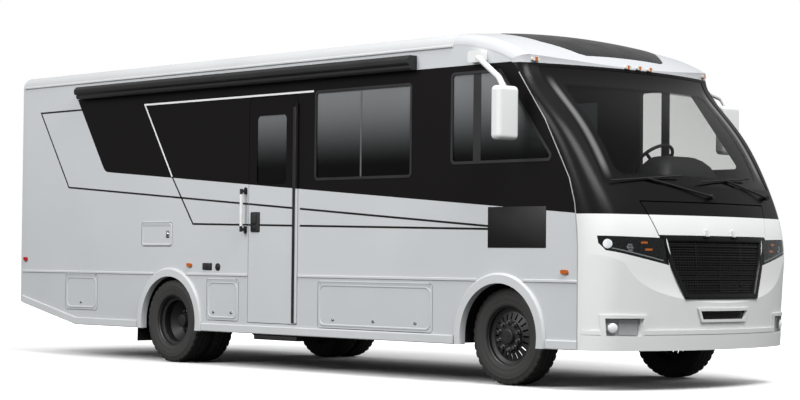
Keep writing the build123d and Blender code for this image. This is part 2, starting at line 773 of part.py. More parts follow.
# Step that slides out below the skirt, between the runners
step_back = door_back + 75 + runner_thickness + seat_gap
step_front = door_front + 20 - runner_thickness - seat_gap
with BuildPart() as entry_step:
    with BuildSketch(Plane.XY.offset(step_top - step_thickness)):
        make_face(polygon([(step_back, -half + 5), (step_front, -half + 5), (step_front, -half + 255),
                           (step_back, -half + 255)]))
    extrude(amount=step_thickness)
    fillet(entry_step.edges().filter_by(Axis.X).group_by(Axis.Y)[0], radius=14)
    for x in (step_back, step_front - 25):
        with BuildSketch(Plane.XY.offset(step_top - 33)):
            make_face(polygon([(x, -half + 250), (x + 25, -half + 250), (x + 25, -stair_inner_y - 30),
                               (x, -stair_inner_y - 30)]))
        extrude(amount=33)
save(entry_step.part, "entry_step")

# Roof skin and rear wall share the same crowned section
with BuildPart() as roof:
    with BuildSketch(front_plane(rear_wall_x + wall)):
        make_face(crowned_end(0, roof_tip, half, roof_crown_radius, roof_shoulder, False))
        make_face(crowned_end(-10, roof_tip - roof_thickness, inside, roof_crown_radius,
                              roof_shoulder - wall / 2, False), mode=Mode.SUBTRACT)
        make_face(polygon(corners(-half - 5, half + 5, -20, rail_z)), mode=Mode.SUBTRACT)
    extrude(amount=cap_back - rear_wall_x - wall)
save(roof.part, "roof")
with BuildPart() as rear_wall:
    with BuildSketch(front_plane(rear_wall_x)):
        make_face(crowned_end(tail_z, roof_tip, half, roof_crown_radius, roof_shoulder, False))
    extrude(amount=wall)
save(rear_wall.part, "rear_wall")

# Rear bumper on the wall, and the tow receiver below it against the bar under the frame rails
bumper_half, bumper_low, bumper_height = 1130, 565, 150
pin_bore_radius = 8
with BuildPart() as rear_bumper:
    with BuildSketch(Plane.XY.offset(bumper_low)):
        with Locations((rear_x + bumper_depth / 2, 0)):
            RectangleRounded(bumper_depth, 2 * bumper_half, 25)
    extrude(amount=bumper_height)
save(rear_bumper.part, "rear_bumper")
with BuildPart() as tow_receiver:
    with BuildSketch(front_plane(rear_x)):
        with Locations((0, receiver_z)):
            RectangleRounded(receiver_outer, receiver_outer, 8)
            Rectangle(receiver_bore, receiver_bore, mode=Mode.SUBTRACT)
    extrude(amount=bar_x - bar_half - rear_x)
    with BuildSketch(side_plane(receiver_outer)):
        with Locations((rear_x + 60, receiver_z)):
            Circle(pin_bore_radius)
    extrude(amount=2 * receiver_outer, mode=Mode.SUBTRACT)
save(tow_receiver.part, "tow_receiver")


# Long trims, as bands on the wall: thickness and the bands' corners
belt_height, belt_proud = 24, 10
sill_height, sill_proud = 75, 16
gutter_height, gutter_proud = 24, 14
corner_width = 46
arch_outer = arch_radius + arch_trim
belt_break = sqrt(arch_outer ** 2 - (belt_z - belt_height / 2 - axle_z) ** 2) + 1
sill_break = sqrt(arch_outer ** 2 - (axle_z - skirt_z - sill_height) ** 2) + 4
seam_low_x = front_x - 520
door_edge = panel_gap + 2 * door_hinge_radius + 6


def band(back, front, middle, height):
    return corners(back, front, middle - height / 2, middle + height / 2)


def belt_runs(doorway):
    runs = [(wall_back, rear_axle_x - belt_break), (rear_axle_x + belt_break, front_axle_x - belt_break),
            (front_axle_x + belt_break, seam_low_x)]
    if doorway:
        ahead = (door_front + door_edge, front_axle_x - belt_break)
        runs[1:2] = [(rear_axle_x + belt_break, door_back - panel_gap), ahead]
    return runs


def trims(doorway):
    """Belt rails, sill rails and gutter of the entry side."""
    sill_z = skirt_z + sill_height / 2
    bands = [(band(back, front, belt_z, belt_height), belt_proud) for back, front in belt_runs(doorway)]
    for back, front in ((tail_kink_x, rear_axle_x - sill_break),
                        (rear_axle_x + sill_break, front_axle_x - sill_break),
                        (front_axle_x + sill_break, seam_low_x)):
        bands.append((band(back, front, sill_z, sill_height), sill_proud))
    rise = (tail_z - skirt_z) / tail_length * corner_width
    bands.append(([(rear_wall_x + corner_width, tail_z - rise), (tail_kink_x - 1, skirt_z),
                   (tail_kink_x - 1, skirt_z + sill_height),
                   (rear_wall_x + corner_width, tail_z - rise + sill_height)], sill_proud))
    bands.append((band(wall_back, cap_back, rail_z, gutter_height), gutter_proud))
    strips = []
    for points, proud in bands:
        with BuildPart() as strip:
            with BuildSketch(side_plane(-half)):
                make_face(polygon(points))
            extrude(amount=proud)
            chamfer(strip.faces().sort_by(Axis.Y)[0].edges().filter_by(GeomType.LINE).sort_by(
                SortBy.LENGTH)[-2:], length=proud / 2.5)
        strips.append(strip.part)
    return strips


def arch_flare(axle_x):
    with BuildPart() as part:
        with BuildSketch(side_plane(-half)):
            with Locations((axle_x, axle_z)):
                Circle(arch_outer)
                Circle(arch_radius, mode=Mode.SUBTRACT)
            make_face(polygon(corners(axle_x - arch_outer - 1, axle_x + arch_outer + 1, -200, skirt_z)),
                      mode=Mode.SUBTRACT)
        extrude(amount=26)
        chamfer(part.faces().sort_by(Axis.Y)[0].edges().filter_by(GeomType.CIRCLE).sort_by(SortBy.RADIUS)[-1],
                length=16)
    return part.part


def trim_side(doorway):
    return trims(doorway) + [arch_flare(rear_axle_x), arch_flare(front_axle_x)]


with BuildPart() as body_trims:
    add(trim_side(True))
    add([other_hand(part) for part in trim_side(False)])
save(body_trims.part, "body_trims")

# Mud flaps behind the rear tyres, hung from the floor
flap_x, flap_bottom = rear_axle_x - 600, 190
with BuildPart() as mud_flaps:
    for hand in (-1, 1):
        with BuildSketch(front_plane(flap_x)):
            make_face(polygon([(hand * y, z) for y, z in corners(
                inner_tyre_y - 110, inside - 5, flap_bottom, floor_bottom)]))
        extrude(amount=8)
save(mud_flaps.part, "mud_flaps")

# Awning cassette: its section, as distance out of the wall and height above its lower edge
awning_back, awning_front = rear_wall_x + 1127, front_x - 2398
awning_low = rail_z - 178
awning_section = [(0, 0), (66, 0), (84, 16), (84, 40), (112, 52), (112, 96), (84, 126), (0, 126)]
with BuildPart() as awning_case:
    with BuildSketch(front_plane(awning_back)) as section:
        make_face(polygon([(-half - out, awning_low + up) for out, up in awning_section]))
        fillet(section.vertices().group_by(Axis.X)[0], radius=18)
    extrude(amount=awning_front - awning_back)
save(awning_case.part, "awning_case")

# Grab handle beside the door
handle_x, handle_low, handle_high, handle_out = door_back - 43, 1280, 1685, 58
with BuildPart() as grab_handle:
    with BuildSketch(Plane.XY.offset(handle_low)):
        with Locations((handle_x, -half - handle_out)):
            Circle(15)
    extrude(amount=handle_high - handle_low)
    for z in (handle_low + 22, handle_high - 22):
        with BuildSketch(side_plane(-half)):
            with Locations((handle_x, z)):
                SlotOverall(76, 40, rotation=90)
        extrude(amount=12)
        with BuildSketch(side_plane(-half)):
            with Locations((handle_x, z)):
                Circle(15)
        extrude(amount=handle_out)
save(grab_handle.part, "grab_handle")

# Mirrors: foot on the wall, bent arm and the hanging head
foot_x, foot_z = front_x - 1632, rail_z - 112
head_x, head_y, head_z = front_x - 1130, half + 215, rail_z - 616
head_depth, head_width, head_height = 110, 240, 440
arm_top = (front_x - 1200, -head_y, rail_z - 322)
arm_end = (head_x, -head_y, head_z + head_height / 2 - 30)
with BuildPart() as mirror_head:
    with Locations((head_x, -head_y, head_z)):
        Box(head_depth, head_width, head_height)
    fillet(mirror_head.edges(), radius=38)
with BuildPart() as mirror_right:
    with BuildSketch(side_plane(-half)):
        with Locations((foot_x, foot_z)):
            RectangleRounded(170, 100, 25)
    extrude(amount=62)
    with BuildLine() as arm_path:
        FilletPolyline((foot_x, -half - 34, foot_z), arm_top, arm_end, radius=60)
    with BuildSketch(arm_path.line ^ 0):
        Circle(24)
    sweep(path=arm_path.line)
    add(mirror_head.part)
with BuildPart() as mirrors:
    add(mirror_right.part)
    mirror(mirror_right.part, about=Plane.XZ)
save(mirrors.part, "mirrors")

# Cab seats: pedestal, cushion and back
seat_x, seat_y, seat_width = front_x - 1900, 560, 520
pedestal_height, cushion_height, back_height = 330, 130, 660
with BuildPart() as cab_seats:
    for hand in (-1, 1):
        with BuildSketch(Plane.XY.offset(floor_top)):
            with Locations((seat_x, hand * seat_y)):
                RectangleRounded(360, 360, 40)
        extrude(amount=pedestal_height)
        with BuildSketch(Plane.XY.offset(floor_top + pedestal_height)):
            with Locations((seat_x, hand * seat_y)):
                RectangleRounded(500, seat_width, 70)
        extrude(amount=cushion_height)
        with BuildSketch(side_plane(hand * seat_y + seat_width / 2 - 10)):
            low = floor_top + pedestal_height + cushion_height
            make_face(polygon([(seat_x - 250, low - 90), (seat_x - 140, low - 20), (seat_x - 230, low + back_height),
                               (seat_x - 330, low + back_height), (seat_x - 320, low - 60)]))
        extrude(amount=seat_width - 20)
save(cab_seats.part, "cab_seats")

# Roof vents: a frame and a low lid each
vent_places = [rear_wall_x + 1400, rear_wall_x + 4300]
with BuildPart() as roof_vents:
    for x in vent_places:
        with BuildSketch(Plane.XY.offset(roof_tip - 20)):
            with Locations((x, 0)):
                RectangleRounded(420, 420, 30)
        extrude(amount=42)
        with BuildSketch(Plane.XY.offset(roof_tip + 22)):
            with Locations((x, 0)):
                RectangleRounded(470, 470, 50)
        extrude(amount=38)
    add(roof.part, mode=Mode.SUBTRACT)
save(roof_vents.part, "roof_vents")

# Tail lamps and the small red lamps of the rear: half width place, height, width, height of lens
rear_lamp_table = [(1060, 930, 150, 270), (1090, rail_z - 70, 90, 34), (180, rail_z - 20, 90, 34)]
with BuildPart() as tail_lamps:
    for y, z, lens_width, lens_height in rear_lamp_table:
        with BuildSketch(front_plane(rear_wall_x)):
            with Locations((y, z), (-y, z)):
                RectangleRounded(lens_width, lens_height, 15)
        extrude(amount=-26)
    with BuildSketch(front_plane(rear_wall_x)):
        with Locations((0, rail_z - 20)):
            RectangleRounded(90, 34, 15)
    extrude(amount=-26)
    for hand in (-1, 1):
        with BuildSketch(side_plane(hand * half)):
            with Locations((rear_wall_x + corner_width + 50, belt_z + 130)):
                RectangleRounded(60, 40, 12)
        extrude(amount=-hand * 18)
save(tail_lamps.part, "tail_lamps")


# Moulded front
outer_nose = nose_solid(0)
inner_nose = nose_solid(cap_wall)
outer_dome = dome_solid(0)

# Openings in the moulded front, seen from ahead: half width and height of each corner
grille_outline = [(620, cowl_z - 475), (570, cowl_z - 700), (445, cowl_z - 940)]
hood_top, hood_bottom = cowl_z - 185, cowl_z - 450
hood_outline = [(790, hood_top), (690, hood_bottom)]
hood_gap, hood_skin, hood_frame, hood_inset = 10, 7, 23, 40
lamp_outline = [(640, cowl_z - 474), (1195, cowl_z - 462), (1192, cowl_z - 521), (1158, cowl_z - 578),
                (600, cowl_z - 694)]
lower_grille_outline = [(300, cowl_z - 1060), (270, cowl_z - 1128)]
screen_outline = [(screen_half_width, screen_top), (screen_half_width, screen_bottom)]
pod_outline = [(850, 584), (1150, 584), (1138, 446), (868, 440)]
pod_brow = [(822, 608), (1178, 612), (1165, 432), (845, 424)]
fog_places = [(1090, 508), (-1090, 508)]
fog_radius = 40
nose_zone = front_x - 700
brow_zone = front_x - 1450
lip_proud, lip_top = 15, 448
strip_bottom, strip_top = 453, 488


def nose_level(z):
    """Nose set-back and corner radius at a height, read between the levels of the front."""
    for (low, low_back, low_corner), (high, high_back, high_corner) in zip(front_levels, front_levels[1:]):
        if z <= high:
            share = (z - low) / (high - low)
            return low_back + share * (high_back - low_back), low_corner + share * (high_corner - low_corner)


def nose_surface(y, z):
    """Place along X of the front's skin."""
    set_back, corner = nose_level(z)
    centre = front_x - set_back - nose_crown
    side = half - corner
    start = centre + sqrt((nose_crown - corner) ** 2 - side ** 2)
    if abs(y) <= side * nose_crown / (nose_crown - corner):
        return centre + sqrt(nose_crown ** 2 - y ** 2)
    return start + sqrt(corner ** 2 - (abs(y) - side) ** 2)


def grown(edges, amount):
    with BuildSketch() as sketch:
        make_face(edges)
        if amount:
            offset(amount=amount, kind=Kind.INTERSECTION, mode=Mode.REPLACE)
    return sketch.sketch


def skin_piece(faces, front, back, start):
    """Slice of the moulded front between two shifted skins, cut to front-view faces."""
    with BuildPart() as piece:
        with BuildSketch(front_plane(start)):
            add(faces)
        extrude(amount=front_x + 100 - start)
        add(outer_nose.moved(Location((front, 0, 0))), mode=Mode.INTERSECT)
        add(outer_nose.moved(Location((back, 0, 0))), mode=Mode.SUBTRACT)
    return piece.part


def paired_faces(outline, shrink):
    """The outline on the left side and its mirror image, both drawn in."""
    right = [(-y, z) for y, z in outline]
    return [grown(polygon(outline), -shrink), grown(polygon(right), -shrink)]


def round_faces(places, radius):
    with BuildSketch() as sketch:
        with Locations(*places):
            Circle(radius)
    return sketch.sketch


def rod(start, end, radius):
    """Round bar between two points."""
    line = Vector(*end) - Vector(*start)
    with BuildPart() as bar:
        with BuildSketch(Plane(origin=start, z_dir=line)):
            Circle(radius)
        extrude(amount=line.length)
    return bar.part


# Hood hinge along the lower edge: lugs above the grille hold pins that the hood's ears turn on
pin_z = hood_bottom - 16
pin_x = nose_surface(0, pin_z) + 16
pin_radius, ear_outer, ear_width, lug_width = 4, 9, 24, 20
hinge_places = [-170, 170]


def hinge_block(middle_y, width, arm):
    """Round eye about the hinge pin with an arm that reaches into the panel."""
    with BuildPart() as block:
        with BuildSketch(side_plane(middle_y + width / 2)):
            with Locations((pin_x, pin_z)):
                Circle(ear_outer)
            make_face(polygon([(pin_x + along, pin_z + up) for along, up in arm]))
        extrude(amount=width)
    return block.part


lug_arm = [(0, -6), (0, 8), (-44, 8), (-44, -6)]
ear_arm = [(-ear_outer, 0), (ear_outer, 0), (2, 60), (-36, 60), (-14, 20)]
with BuildPart() as cap_inside:
    add(inner_nose)
    add(dome_solid(cap_wall), mode=Mode.INTERSECT)
with BuildPart() as front_cap:
    add(outer_nose)
    add(outer_dome, mode=Mode.INTERSECT)
    add(cap_inside.part, mode=Mode.SUBTRACT)
    add(cap_zone.part, mode=Mode.INTERSECT)
    with BuildSketch(front_plane(cap_back + 300)):
        make_face(both_hands(screen_outline))
    extrude(amount=1600, mode=Mode.SUBTRACT)
    with BuildSketch(front_plane(nose_zone)):
        make_face(both_hands(grille_outline))
        make_face(both_hands(lower_grille_outline))
        add(paired_faces(lamp_outline, 0))
        add(paired_faces(pod_outline, 0))
        add(grown(both_hands(hood_outline), hood_gap))
    extrude(amount=900, mode=Mode.SUBTRACT)
    for y in hinge_places:
        outboard = 1 if y > 0 else -1
        lug_y = y + outboard * (ear_width + lug_width + 2) / 2
        add(hinge_block(lug_y, lug_width, lug_arm))
        add(rod((pin_x, lug_y, pin_z), (pin_x, y - outboard * ear_width / 2, pin_z), pin_radius))
save(front_cap.part, "front_cap")

with BuildPart() as front_hood:
    add(skin_piece([grown(both_hands(hood_outline), 0)], 0, -hood_skin, nose_zone))
    add(skin_piece([grown(both_hands(hood_outline), -hood_inset)], -hood_skin, -hood_frame, nose_zone))
    for y in hinge_places:
        add(hinge_block(y, ear_width, ear_arm))
        add(rod((pin_x, y - ear_width, pin_z), (pin_x, y + ear_width, pin_z), pin_radius + running_gap),
            mode=Mode.SUBTRACT)
save(front_hood.part, "front_hood")

windshield = skin_piece([grown(both_hands(screen_outline), -seat_gap)], -5, -14, brow_zone)
save(windshield, "windshield")

# Grille with bars across its opening, and the small lower grille
bar_pitch, bar_height, post_pitch, post_width = 44, 12, 290, 10
grille_middle_z = (grille_outline[0][1] + grille_outline[-1][1]) / 2
with BuildPart() as grille:
    add(skin_piece([grown(both_hands(grille_outline), -seat_gap)], -18, -46, nose_zone))
    with BuildSketch(front_plane(nose_zone)):
        add(grown(both_hands(grille_outline), -16))
        with Locations((0, grille_middle_z)):
            with GridLocations(0, bar_pitch, 1, 11):
                Rectangle(1400, bar_height, mode=Mode.SUBTRACT)
            with GridLocations(post_pitch, 0, 5, 1):
                Rectangle(post_width, 600, mode=Mode.SUBTRACT)
    extrude(amount=900, mode=Mode.SUBTRACT)
    add(skin_piece([grown(both_hands(lower_grille_outline), -seat_gap)], -12, -34, nose_zone))
save(grille.part, "grille")

# Headlamps in the moulded front, and fog lamps on a plate at the back of each corner pod
plate_back = 52
with BuildPart() as headlamps:
    add(skin_piece(paired_faces(lamp_outline, seat_gap), -8, -60, nose_zone))
    add(skin_piece(paired_faces(pod_outline, seat_gap), -28, -plate_back, nose_zone))
    add(skin_piece([round_faces(fog_places, fog_radius)], -4, -40, nose_zone))
save(headlamps.part, "headlamps")

# Bumper mouldings that stand out from the chin: lip, strip, brows of the pods and rim of the lower grille
lip_outline = [(half - 2, lip_top), (half - 2, skirt_z)]
strip_outline = [(half - 2, strip_top), (half - 2, strip_bottom)]
with BuildPart() as front_bumper:
    add(skin_piece([grown(both_hands(lip_outline), 0), grown(both_hands(strip_outline), 0),
                    grown(both_hands(lower_grille_outline), 22)] + paired_faces(pod_brow, 0), lip_proud, 0,
                   nose_zone))
    with BuildSketch(front_plane(nose_zone)):
        make_face(both_hands(lower_grille_outline))
        add(paired_faces(pod_outline, 0))
    extrude(amount=900, mode=Mode.SUBTRACT)
save(front_bumper.part, "front_bumper")

# Dark panel let into the roof dome, seen from above: place behind the bumper face, half width
dome_outline = [(1108, 480), (1140, 545), (1400, 750), (1760, 850)]
with BuildPart() as dome_panel:
    with BuildSketch(Plane.XY.offset(rail_z - 300)):
        make_face(polygon([(front_x - back, -y) for back, y in dome_outline]
                          + [(front_x - back, y) for back, y in reversed(dome_outline)]))
    extrude(amount=600)
    add(outer_dome.moved(Location((0, 0, 4))), mode=Mode.INTERSECT)
    add(outer_dome, mode=Mode.SUBTRACT)
save(dome_panel.part, "dome_panel")

# Amber lamps: five on the brow and two along each side
brow_lamps = [(1098, rail_z - 152), (144, rail_z - 165), (0, rail_z - 163), (-144, rail_z - 165),
              (-1098, rail_z - 152)]
side_lamps = [(rear_axle_x + 319, belt_z + 89), (front_x - 654, belt_z + 75)]
with BuildSketch() as brow_lamp_faces:
    with Locations(*brow_lamps):
        RectangleRounded(64, 30, 12)
with BuildPart() as marker_lamps:
    add(skin_piece([brow_lamp_faces.sketch], 28, 0, brow_zone))
    for hand in (-1, 1):
        with BuildSketch(side_plane(hand * half)):
            with Locations(*side_lamps):
                RectangleRounded(72, 34, 12)
        extrude(amount=-hand * 18)
save(marker_lamps.part, "marker_lamps")

# Wipers: pivot, blade start and blade end, each as place across and height
wiper_table = [
    ((-5, cowl_z - 127), (-1030, cowl_z - 20), (-280, cowl_z + 40)),
    ((880, cowl_z - 110), (-80, cowl_z - 5), (690, cowl_z + 45)),
]


def over_skin(y, z, stand_off):
    return (nose_surface(y, z) + stand_off, y, z)


with BuildPart() as wipers:
    for pivot, start, end in wiper_table:
        blade_start, blade_end = over_skin(*start, 42), over_skin(*end, 42)
        blade_middle = tuple((Vector(*blade_start) + Vector(*blade_end)) * 0.5)
        arm_foot = over_skin(*pivot, 46)
        add(rod(over_skin(*pivot, -40), over_skin(*pivot, 58), 22))
        add(rod(arm_foot, blade_middle, 9))
        add(rod(blade_start, blade_end, 7))
    add(outer_nose, mode=Mode.SUBTRACT)
save(wipers.part, "wipers")

# Dashboard with the instrument hood, the engine cover and the steering column
dash_profile = [(300, floor_top), (300, cowl_z - 140), (520, cowl_z - 110), (800, cowl_z - 140),
                (930, cowl_z - 200), (950, cowl_z - 370), (780, cowl_z - 450), (700, floor_top)]
wheel_centre = Vector(front_x - 1250, 550, cowl_z + 210)
column_axis = Vector(-1, 0, 1).normalized()
column_length, hub_thickness = 520, 40
with BuildPart() as dashboard:
    with BuildSketch(side_plane(inside - 20)):
        make_face(polygon([(front_x - back, z) for back, z in dash_profile]))
    extrude(amount=2 * inside - 40)
    with BuildSketch(side_plane(800)):
        make_face(polygon([(front_x - back, z) for back, z in (
            (560, cowl_z - 130), (640, cowl_z + 20), (860, cowl_z + 10), (900, cowl_z - 200))]))
    extrude(amount=500)
    with BuildSketch(side_plane(inside - 60)):
        make_face(polygon([(front_x - 250, floor_top + 40), (front_x - 250, cowl_z - 190),
                           (front_x - 800, cowl_z - 190), (front_x - 860, cowl_z - 230),
                           (front_x - 880, cowl_z - 330), (front_x - 740, cowl_z - 400),
                           (front_x - 660, floor_top + 40)]))
    extrude(amount=2 * inside - 120, mode=Mode.SUBTRACT)
    add(inner_nose.moved(Location((-32, 0, 0))), mode=Mode.INTERSECT)
    with BuildSketch(Plane.XY.offset(floor_top)):
        make_face(polygon([(engine_back - 70, -engine_half - 70), (front_x - 620, -engine_half - 70),
                           (front_x - 620, engine_half + 70), (engine_back - 70, engine_half + 70)]))
    extrude(amount=engine_top + 60 - floor_top)
    with BuildSketch(Plane.XY.offset(floor_top - 10)):
        make_face(polygon([(engine_back - 40, -engine_half - 40), (front_x - 200, -engine_half - 40),
                           (front_x - 200, engine_half + 40), (engine_back - 40, engine_half + 40)]))
    extrude(amount=engine_top + 40 - floor_top, mode=Mode.SUBTRACT)
    column_top = wheel_centre - column_axis * (hub_thickness / 2 + seat_gap)
    add(rod(tuple(column_top - column_axis * column_length), tuple(column_top), 30))
save(dashboard.part, "dashboard")

# Steering wheel: rim, hub and three spokes in the plane across the column
with BuildPart(Plane(origin=wheel_centre, x_dir=(0, 1, 0), z_dir=column_axis)) as steering_wheel:
    Torus(205, 15)
    Cylinder(48, hub_thickness)
    with PolarLocations(0, 3, start_angle=90):
        with Locations((120, 0)):
            Box(180, 30, 12)
save(steering_wheel.part, "steering_wheel")
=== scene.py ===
# %% [markdown]
# # A motorhome, dressed on its CAD frame
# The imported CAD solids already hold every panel, pane and wheel in its real place. This lesson gives them their
# finishes and adds what is too fine for the solids: tyre tread, lamp insides, tape stripes, latches, seals and
# padded seats. The front of the vehicle is +X, the entry side is -Y and the ground is z = 0.

# %% Load the frame
import math

import bmesh
import bpy
from mathutils import Matrix, Vector
from mathutils.bvhtree import BVHTree


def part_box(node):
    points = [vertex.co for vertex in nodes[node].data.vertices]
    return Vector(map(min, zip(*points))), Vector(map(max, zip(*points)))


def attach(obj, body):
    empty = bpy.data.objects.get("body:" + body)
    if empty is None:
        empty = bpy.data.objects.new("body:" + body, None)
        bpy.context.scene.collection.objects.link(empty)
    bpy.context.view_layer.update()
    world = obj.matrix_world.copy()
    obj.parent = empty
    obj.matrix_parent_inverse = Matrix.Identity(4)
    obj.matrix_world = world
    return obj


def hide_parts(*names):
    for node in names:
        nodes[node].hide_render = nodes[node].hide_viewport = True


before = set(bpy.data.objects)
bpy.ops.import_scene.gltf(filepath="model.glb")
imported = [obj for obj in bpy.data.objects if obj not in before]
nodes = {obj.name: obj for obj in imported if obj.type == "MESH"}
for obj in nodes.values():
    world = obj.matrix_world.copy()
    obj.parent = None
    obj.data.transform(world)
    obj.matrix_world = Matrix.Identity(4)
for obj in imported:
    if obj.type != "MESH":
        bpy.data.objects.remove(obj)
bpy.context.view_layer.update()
COACH = "coach_body"
HALF_WIDTH = 1.235
SIDES = ((-1, "right"), (1, "left"))

# %% [markdown]
# ## Camera
# The viewpoint was found by matching the wheels, the body's edges and the windows to the photograph. It is a long
# lens at standing height, ahead of the front corner, with a small roll.

# %% Camera
EYE = (14.740, -13.353, 1.030)
AZIMUTH, PITCH, ROLL = math.radians(47.0228), math.radians(1.6755), math.radians(0.5625)
FOCAL_PIXELS, IMAGE_WIDTH, SENSOR_MM, FAR_CLIP = 2046.1, 800, 36, 200
camera = bpy.data.objects.new("camera", bpy.data.cameras.new("camera"))
bpy.context.scene.collection.objects.link(camera)
level_view = Matrix.Rotation(AZIMUTH, 4, "Z") @ Matrix.Rotation(math.pi / 2 + PITCH, 4, "X")
camera.matrix_world = Matrix.Translation(EYE) @ level_view @ Matrix.Rotation(ROLL, 4, "Z")
camera.data.sensor_width = SENSOR_MM
camera.data.lens = FOCAL_PIXELS / IMAGE_WIDTH * SENSOR_MM
camera.data.clip_end = FAR_CLIP
bpy.context.scene.camera = camera
print("lens", round(camera.data.lens, 2), "mm")

# %% [markdown]
# ## Colour and nodes
# Colours are written as hex values, and one function turns them into the linear values that the shaders need. One
# more adds a node with its settings and links, and the short ones after it name the kinds of node that come up often.


# %% Colour and node helpers
def linear(hex_colour):
    """sRGB hex to a linear colour with alpha 1."""
    channels = [int(hex_colour[i:i + 2], 16) / 255 for i in (1, 3, 5)]
    return [c / 12.92 if c <= 0.04045 else ((c + 0.055) / 1.055) ** 2.4 for c in channels] + [1]


def add_node(tree, kind, inputs=None, **settings):
    """New node with its settings, and with each input set to a value or linked to another node's socket."""
    node = tree.nodes.new(kind)
    for key, value in settings.items():
        setattr(node, key, value)
    for key, value in (inputs or {}).items():
        if isinstance(value, bpy.types.NodeSocket):
            tree.links.new(value, node.inputs[key])
        else:
            node.inputs[key].default_value = value
    return node


def axes_of(tree, place):
    """The X, Y and Z sockets of a place."""
    return add_node(tree, "ShaderNodeSeparateXYZ", {"Vector": place}).outputs


def reckon(operation, *values):
    """The result of one sum, in the tree of its first socket."""
    tree = next(value.id_data for value in values if isinstance(value, bpy.types.NodeSocket))
    return add_node(tree, "ShaderNodeMath", dict(enumerate(values)), operation=operation).outputs[0]


def ramp(value, start, end, low, high, curve="SMOOTHSTEP"):
    """The value carried over from start..end to low..high."""
    limits = {"From Min": start, "From Max": end, "To Min": low, "To Max": high}
    node = add_node(value.id_data, "ShaderNodeMapRange", {"Value": value, **limits}, interpolation_type=curve)
    return node.outputs["Result"]


def blend(share, first, second):
    """A colour between two colours."""
    node = add_node(share.id_data, "ShaderNodeMixRGB", {"Fac": share, "Color1": first, "Color2": second})
    return node.outputs["Color"]


def layered(share, under, over):
    """A surface with another one over a share of it."""
    return add_node(share.id_data, "ShaderNodeMixShader", {0: share, 1: under, 2: over}).outputs[0]


print("colour and node helpers ready")

# %% [markdown]
# A real surface is never one flat value, so every finish drifts between two close colours and two close
# roughnesses, and has a fine relief. Where a part carries tape or a second paint, a film with a mask lies over it.


# %% Finishes
def new_material(name):
    """Empty material, its node tree and its output node."""
    made = bpy.data.materials.new(name)
    made.use_nodes = True
    made.node_tree.nodes.clear()
    return made, made.node_tree, add_node(made.node_tree, "ShaderNodeOutputMaterial")


def wear(node_names, material):
    """The CAD nodes take this material in every slot."""
    for name in node_names:
        slots = nodes[name].data.materials
        slots.clear()
        slots.append(material)


def make_finish(name, hex_dark, hex_light, rough, patch_mm, grain_mm, relief_mm, films=(), metallic=0.0,
                specular=0.5, glow=("#FFFFFF", 0.0), worn_by=()):
    """Surface that drifts over patches, with a grained relief. rough is its range of roughness, glow is (hex,
    strength), films are (mask, hex, roughness), where mask makes a socket from x, y, z that is 1 under the film,
    and worn_by lists the CAD nodes that take it."""
    made, tree, output = new_material(name)
    place = add_node(tree, "ShaderNodeTexCoord").outputs["Object"]
    patch = add_node(tree, "ShaderNodeTexNoise", {"Vector": place, "Scale": 1000 / patch_mm, "Detail": 3})
    grain = add_node(tree, "ShaderNodeTexNoise", {"Vector": place, "Scale": 1000 / grain_mm, "Detail": 2})
    colour = blend(patch.outputs["Fac"], linear(hex_dark), linear(hex_light))
    gloss = ramp(patch.outputs["Fac"], 0.3, 0.7, *rough, "LINEAR")
    for mask, film_hex, film_rough in films:
        under = mask(*axes_of(tree, place))
        colour = blend(under, colour, linear(film_hex))
        gloss = ramp(under, 0, 1, gloss, film_rough, "LINEAR")
    relief = add_node(tree, "ShaderNodeBump", {"Height": grain.outputs["Fac"], "Distance": relief_mm / 1000})
    surface = add_node(tree, "ShaderNodeBsdfPrincipled", {
        "Base Color": colour, "Roughness": gloss, "Normal": relief.outputs["Normal"], "Metallic": metallic,
        "Specular IOR Level": specular, "Emission Color": linear(glow[0]), "Emission Strength": glow[1]})
    tree.links.new(surface.outputs["BSDF"], output.inputs["Surface"])
    wear(worn_by, made)
    return made


print("finish helpers ready")

# %% [markdown]
# ## Painted side panels with the black band
# The walls are laminated sheets with a smooth grey gel surface. A wide black band runs from a slanted rear edge to
# the windshield, and its lower edge falls towards the front. Separate sheets would need holes for every window, so
# the band is a mask worked out from the place on the wall, and the door carries the same mask.

# %% Side panels
# Each edge is (a, b, c) of a line a x + b z + c, which is above 0 on the band's side of it.
BAND_FOOT, BAND_REAR, BAND_TOP = (0.0749, 1, -1.7001), (0.833, 0.553, 1.2142), (0, -1, 2.672)
BAND_CORNER = 0.07
INSIDE_FACE_REACH = 1.2


def band_mask(x, y, z):
    """1 inside the black band: above its falling lower edge, ahead of its slanted rear edge and below its top."""
    def inside_line(along, upward, offset):
        return reckon("MULTIPLY_ADD", z, upward, reckon("MULTIPLY_ADD", x, along, offset))

    corner = reckon("SMOOTH_MIN", inside_line(*BAND_FOOT), inside_line(*BAND_REAR), BAND_CORNER)
    return reckon("GREATER_THAN", reckon("MINIMUM", corner, inside_line(*BAND_TOP)), 0)


def inside_painted_shade_mask(x, y, z):
    """1 on the faces that look into the living space, which are painted dark as painted shade for the dim room."""
    return reckon("COMPARE", y, 0, INSIDE_FACE_REACH)


# The faces inside the living space are painted dark: painted shade.
side_panel = make_finish("laminate_side_panel_gel_grey", "#BEC1C3", "#C6C9CB", (0.30, 0.40), 900, 6, 0.02,
                         [(band_mask, "#141213", 0.42), (inside_painted_shade_mask, "#35322F", 0.7)], specular=0.08,
                         worn_by=["right_wall", "left_wall", "entry_door", "service_hatch"])
baggage_doors = [n for n in nodes if n.startswith("baggage_door")]
skirt_panel = make_finish("skirt_panel_moulded_grey", "#BCC0C2", "#C4C7C9", (0.32, 0.42), 700, 5, 0.03,
                          worn_by=["right_skirt", "left_skirt", "rear_wall"] + baggage_doors)
print("side panels painted")
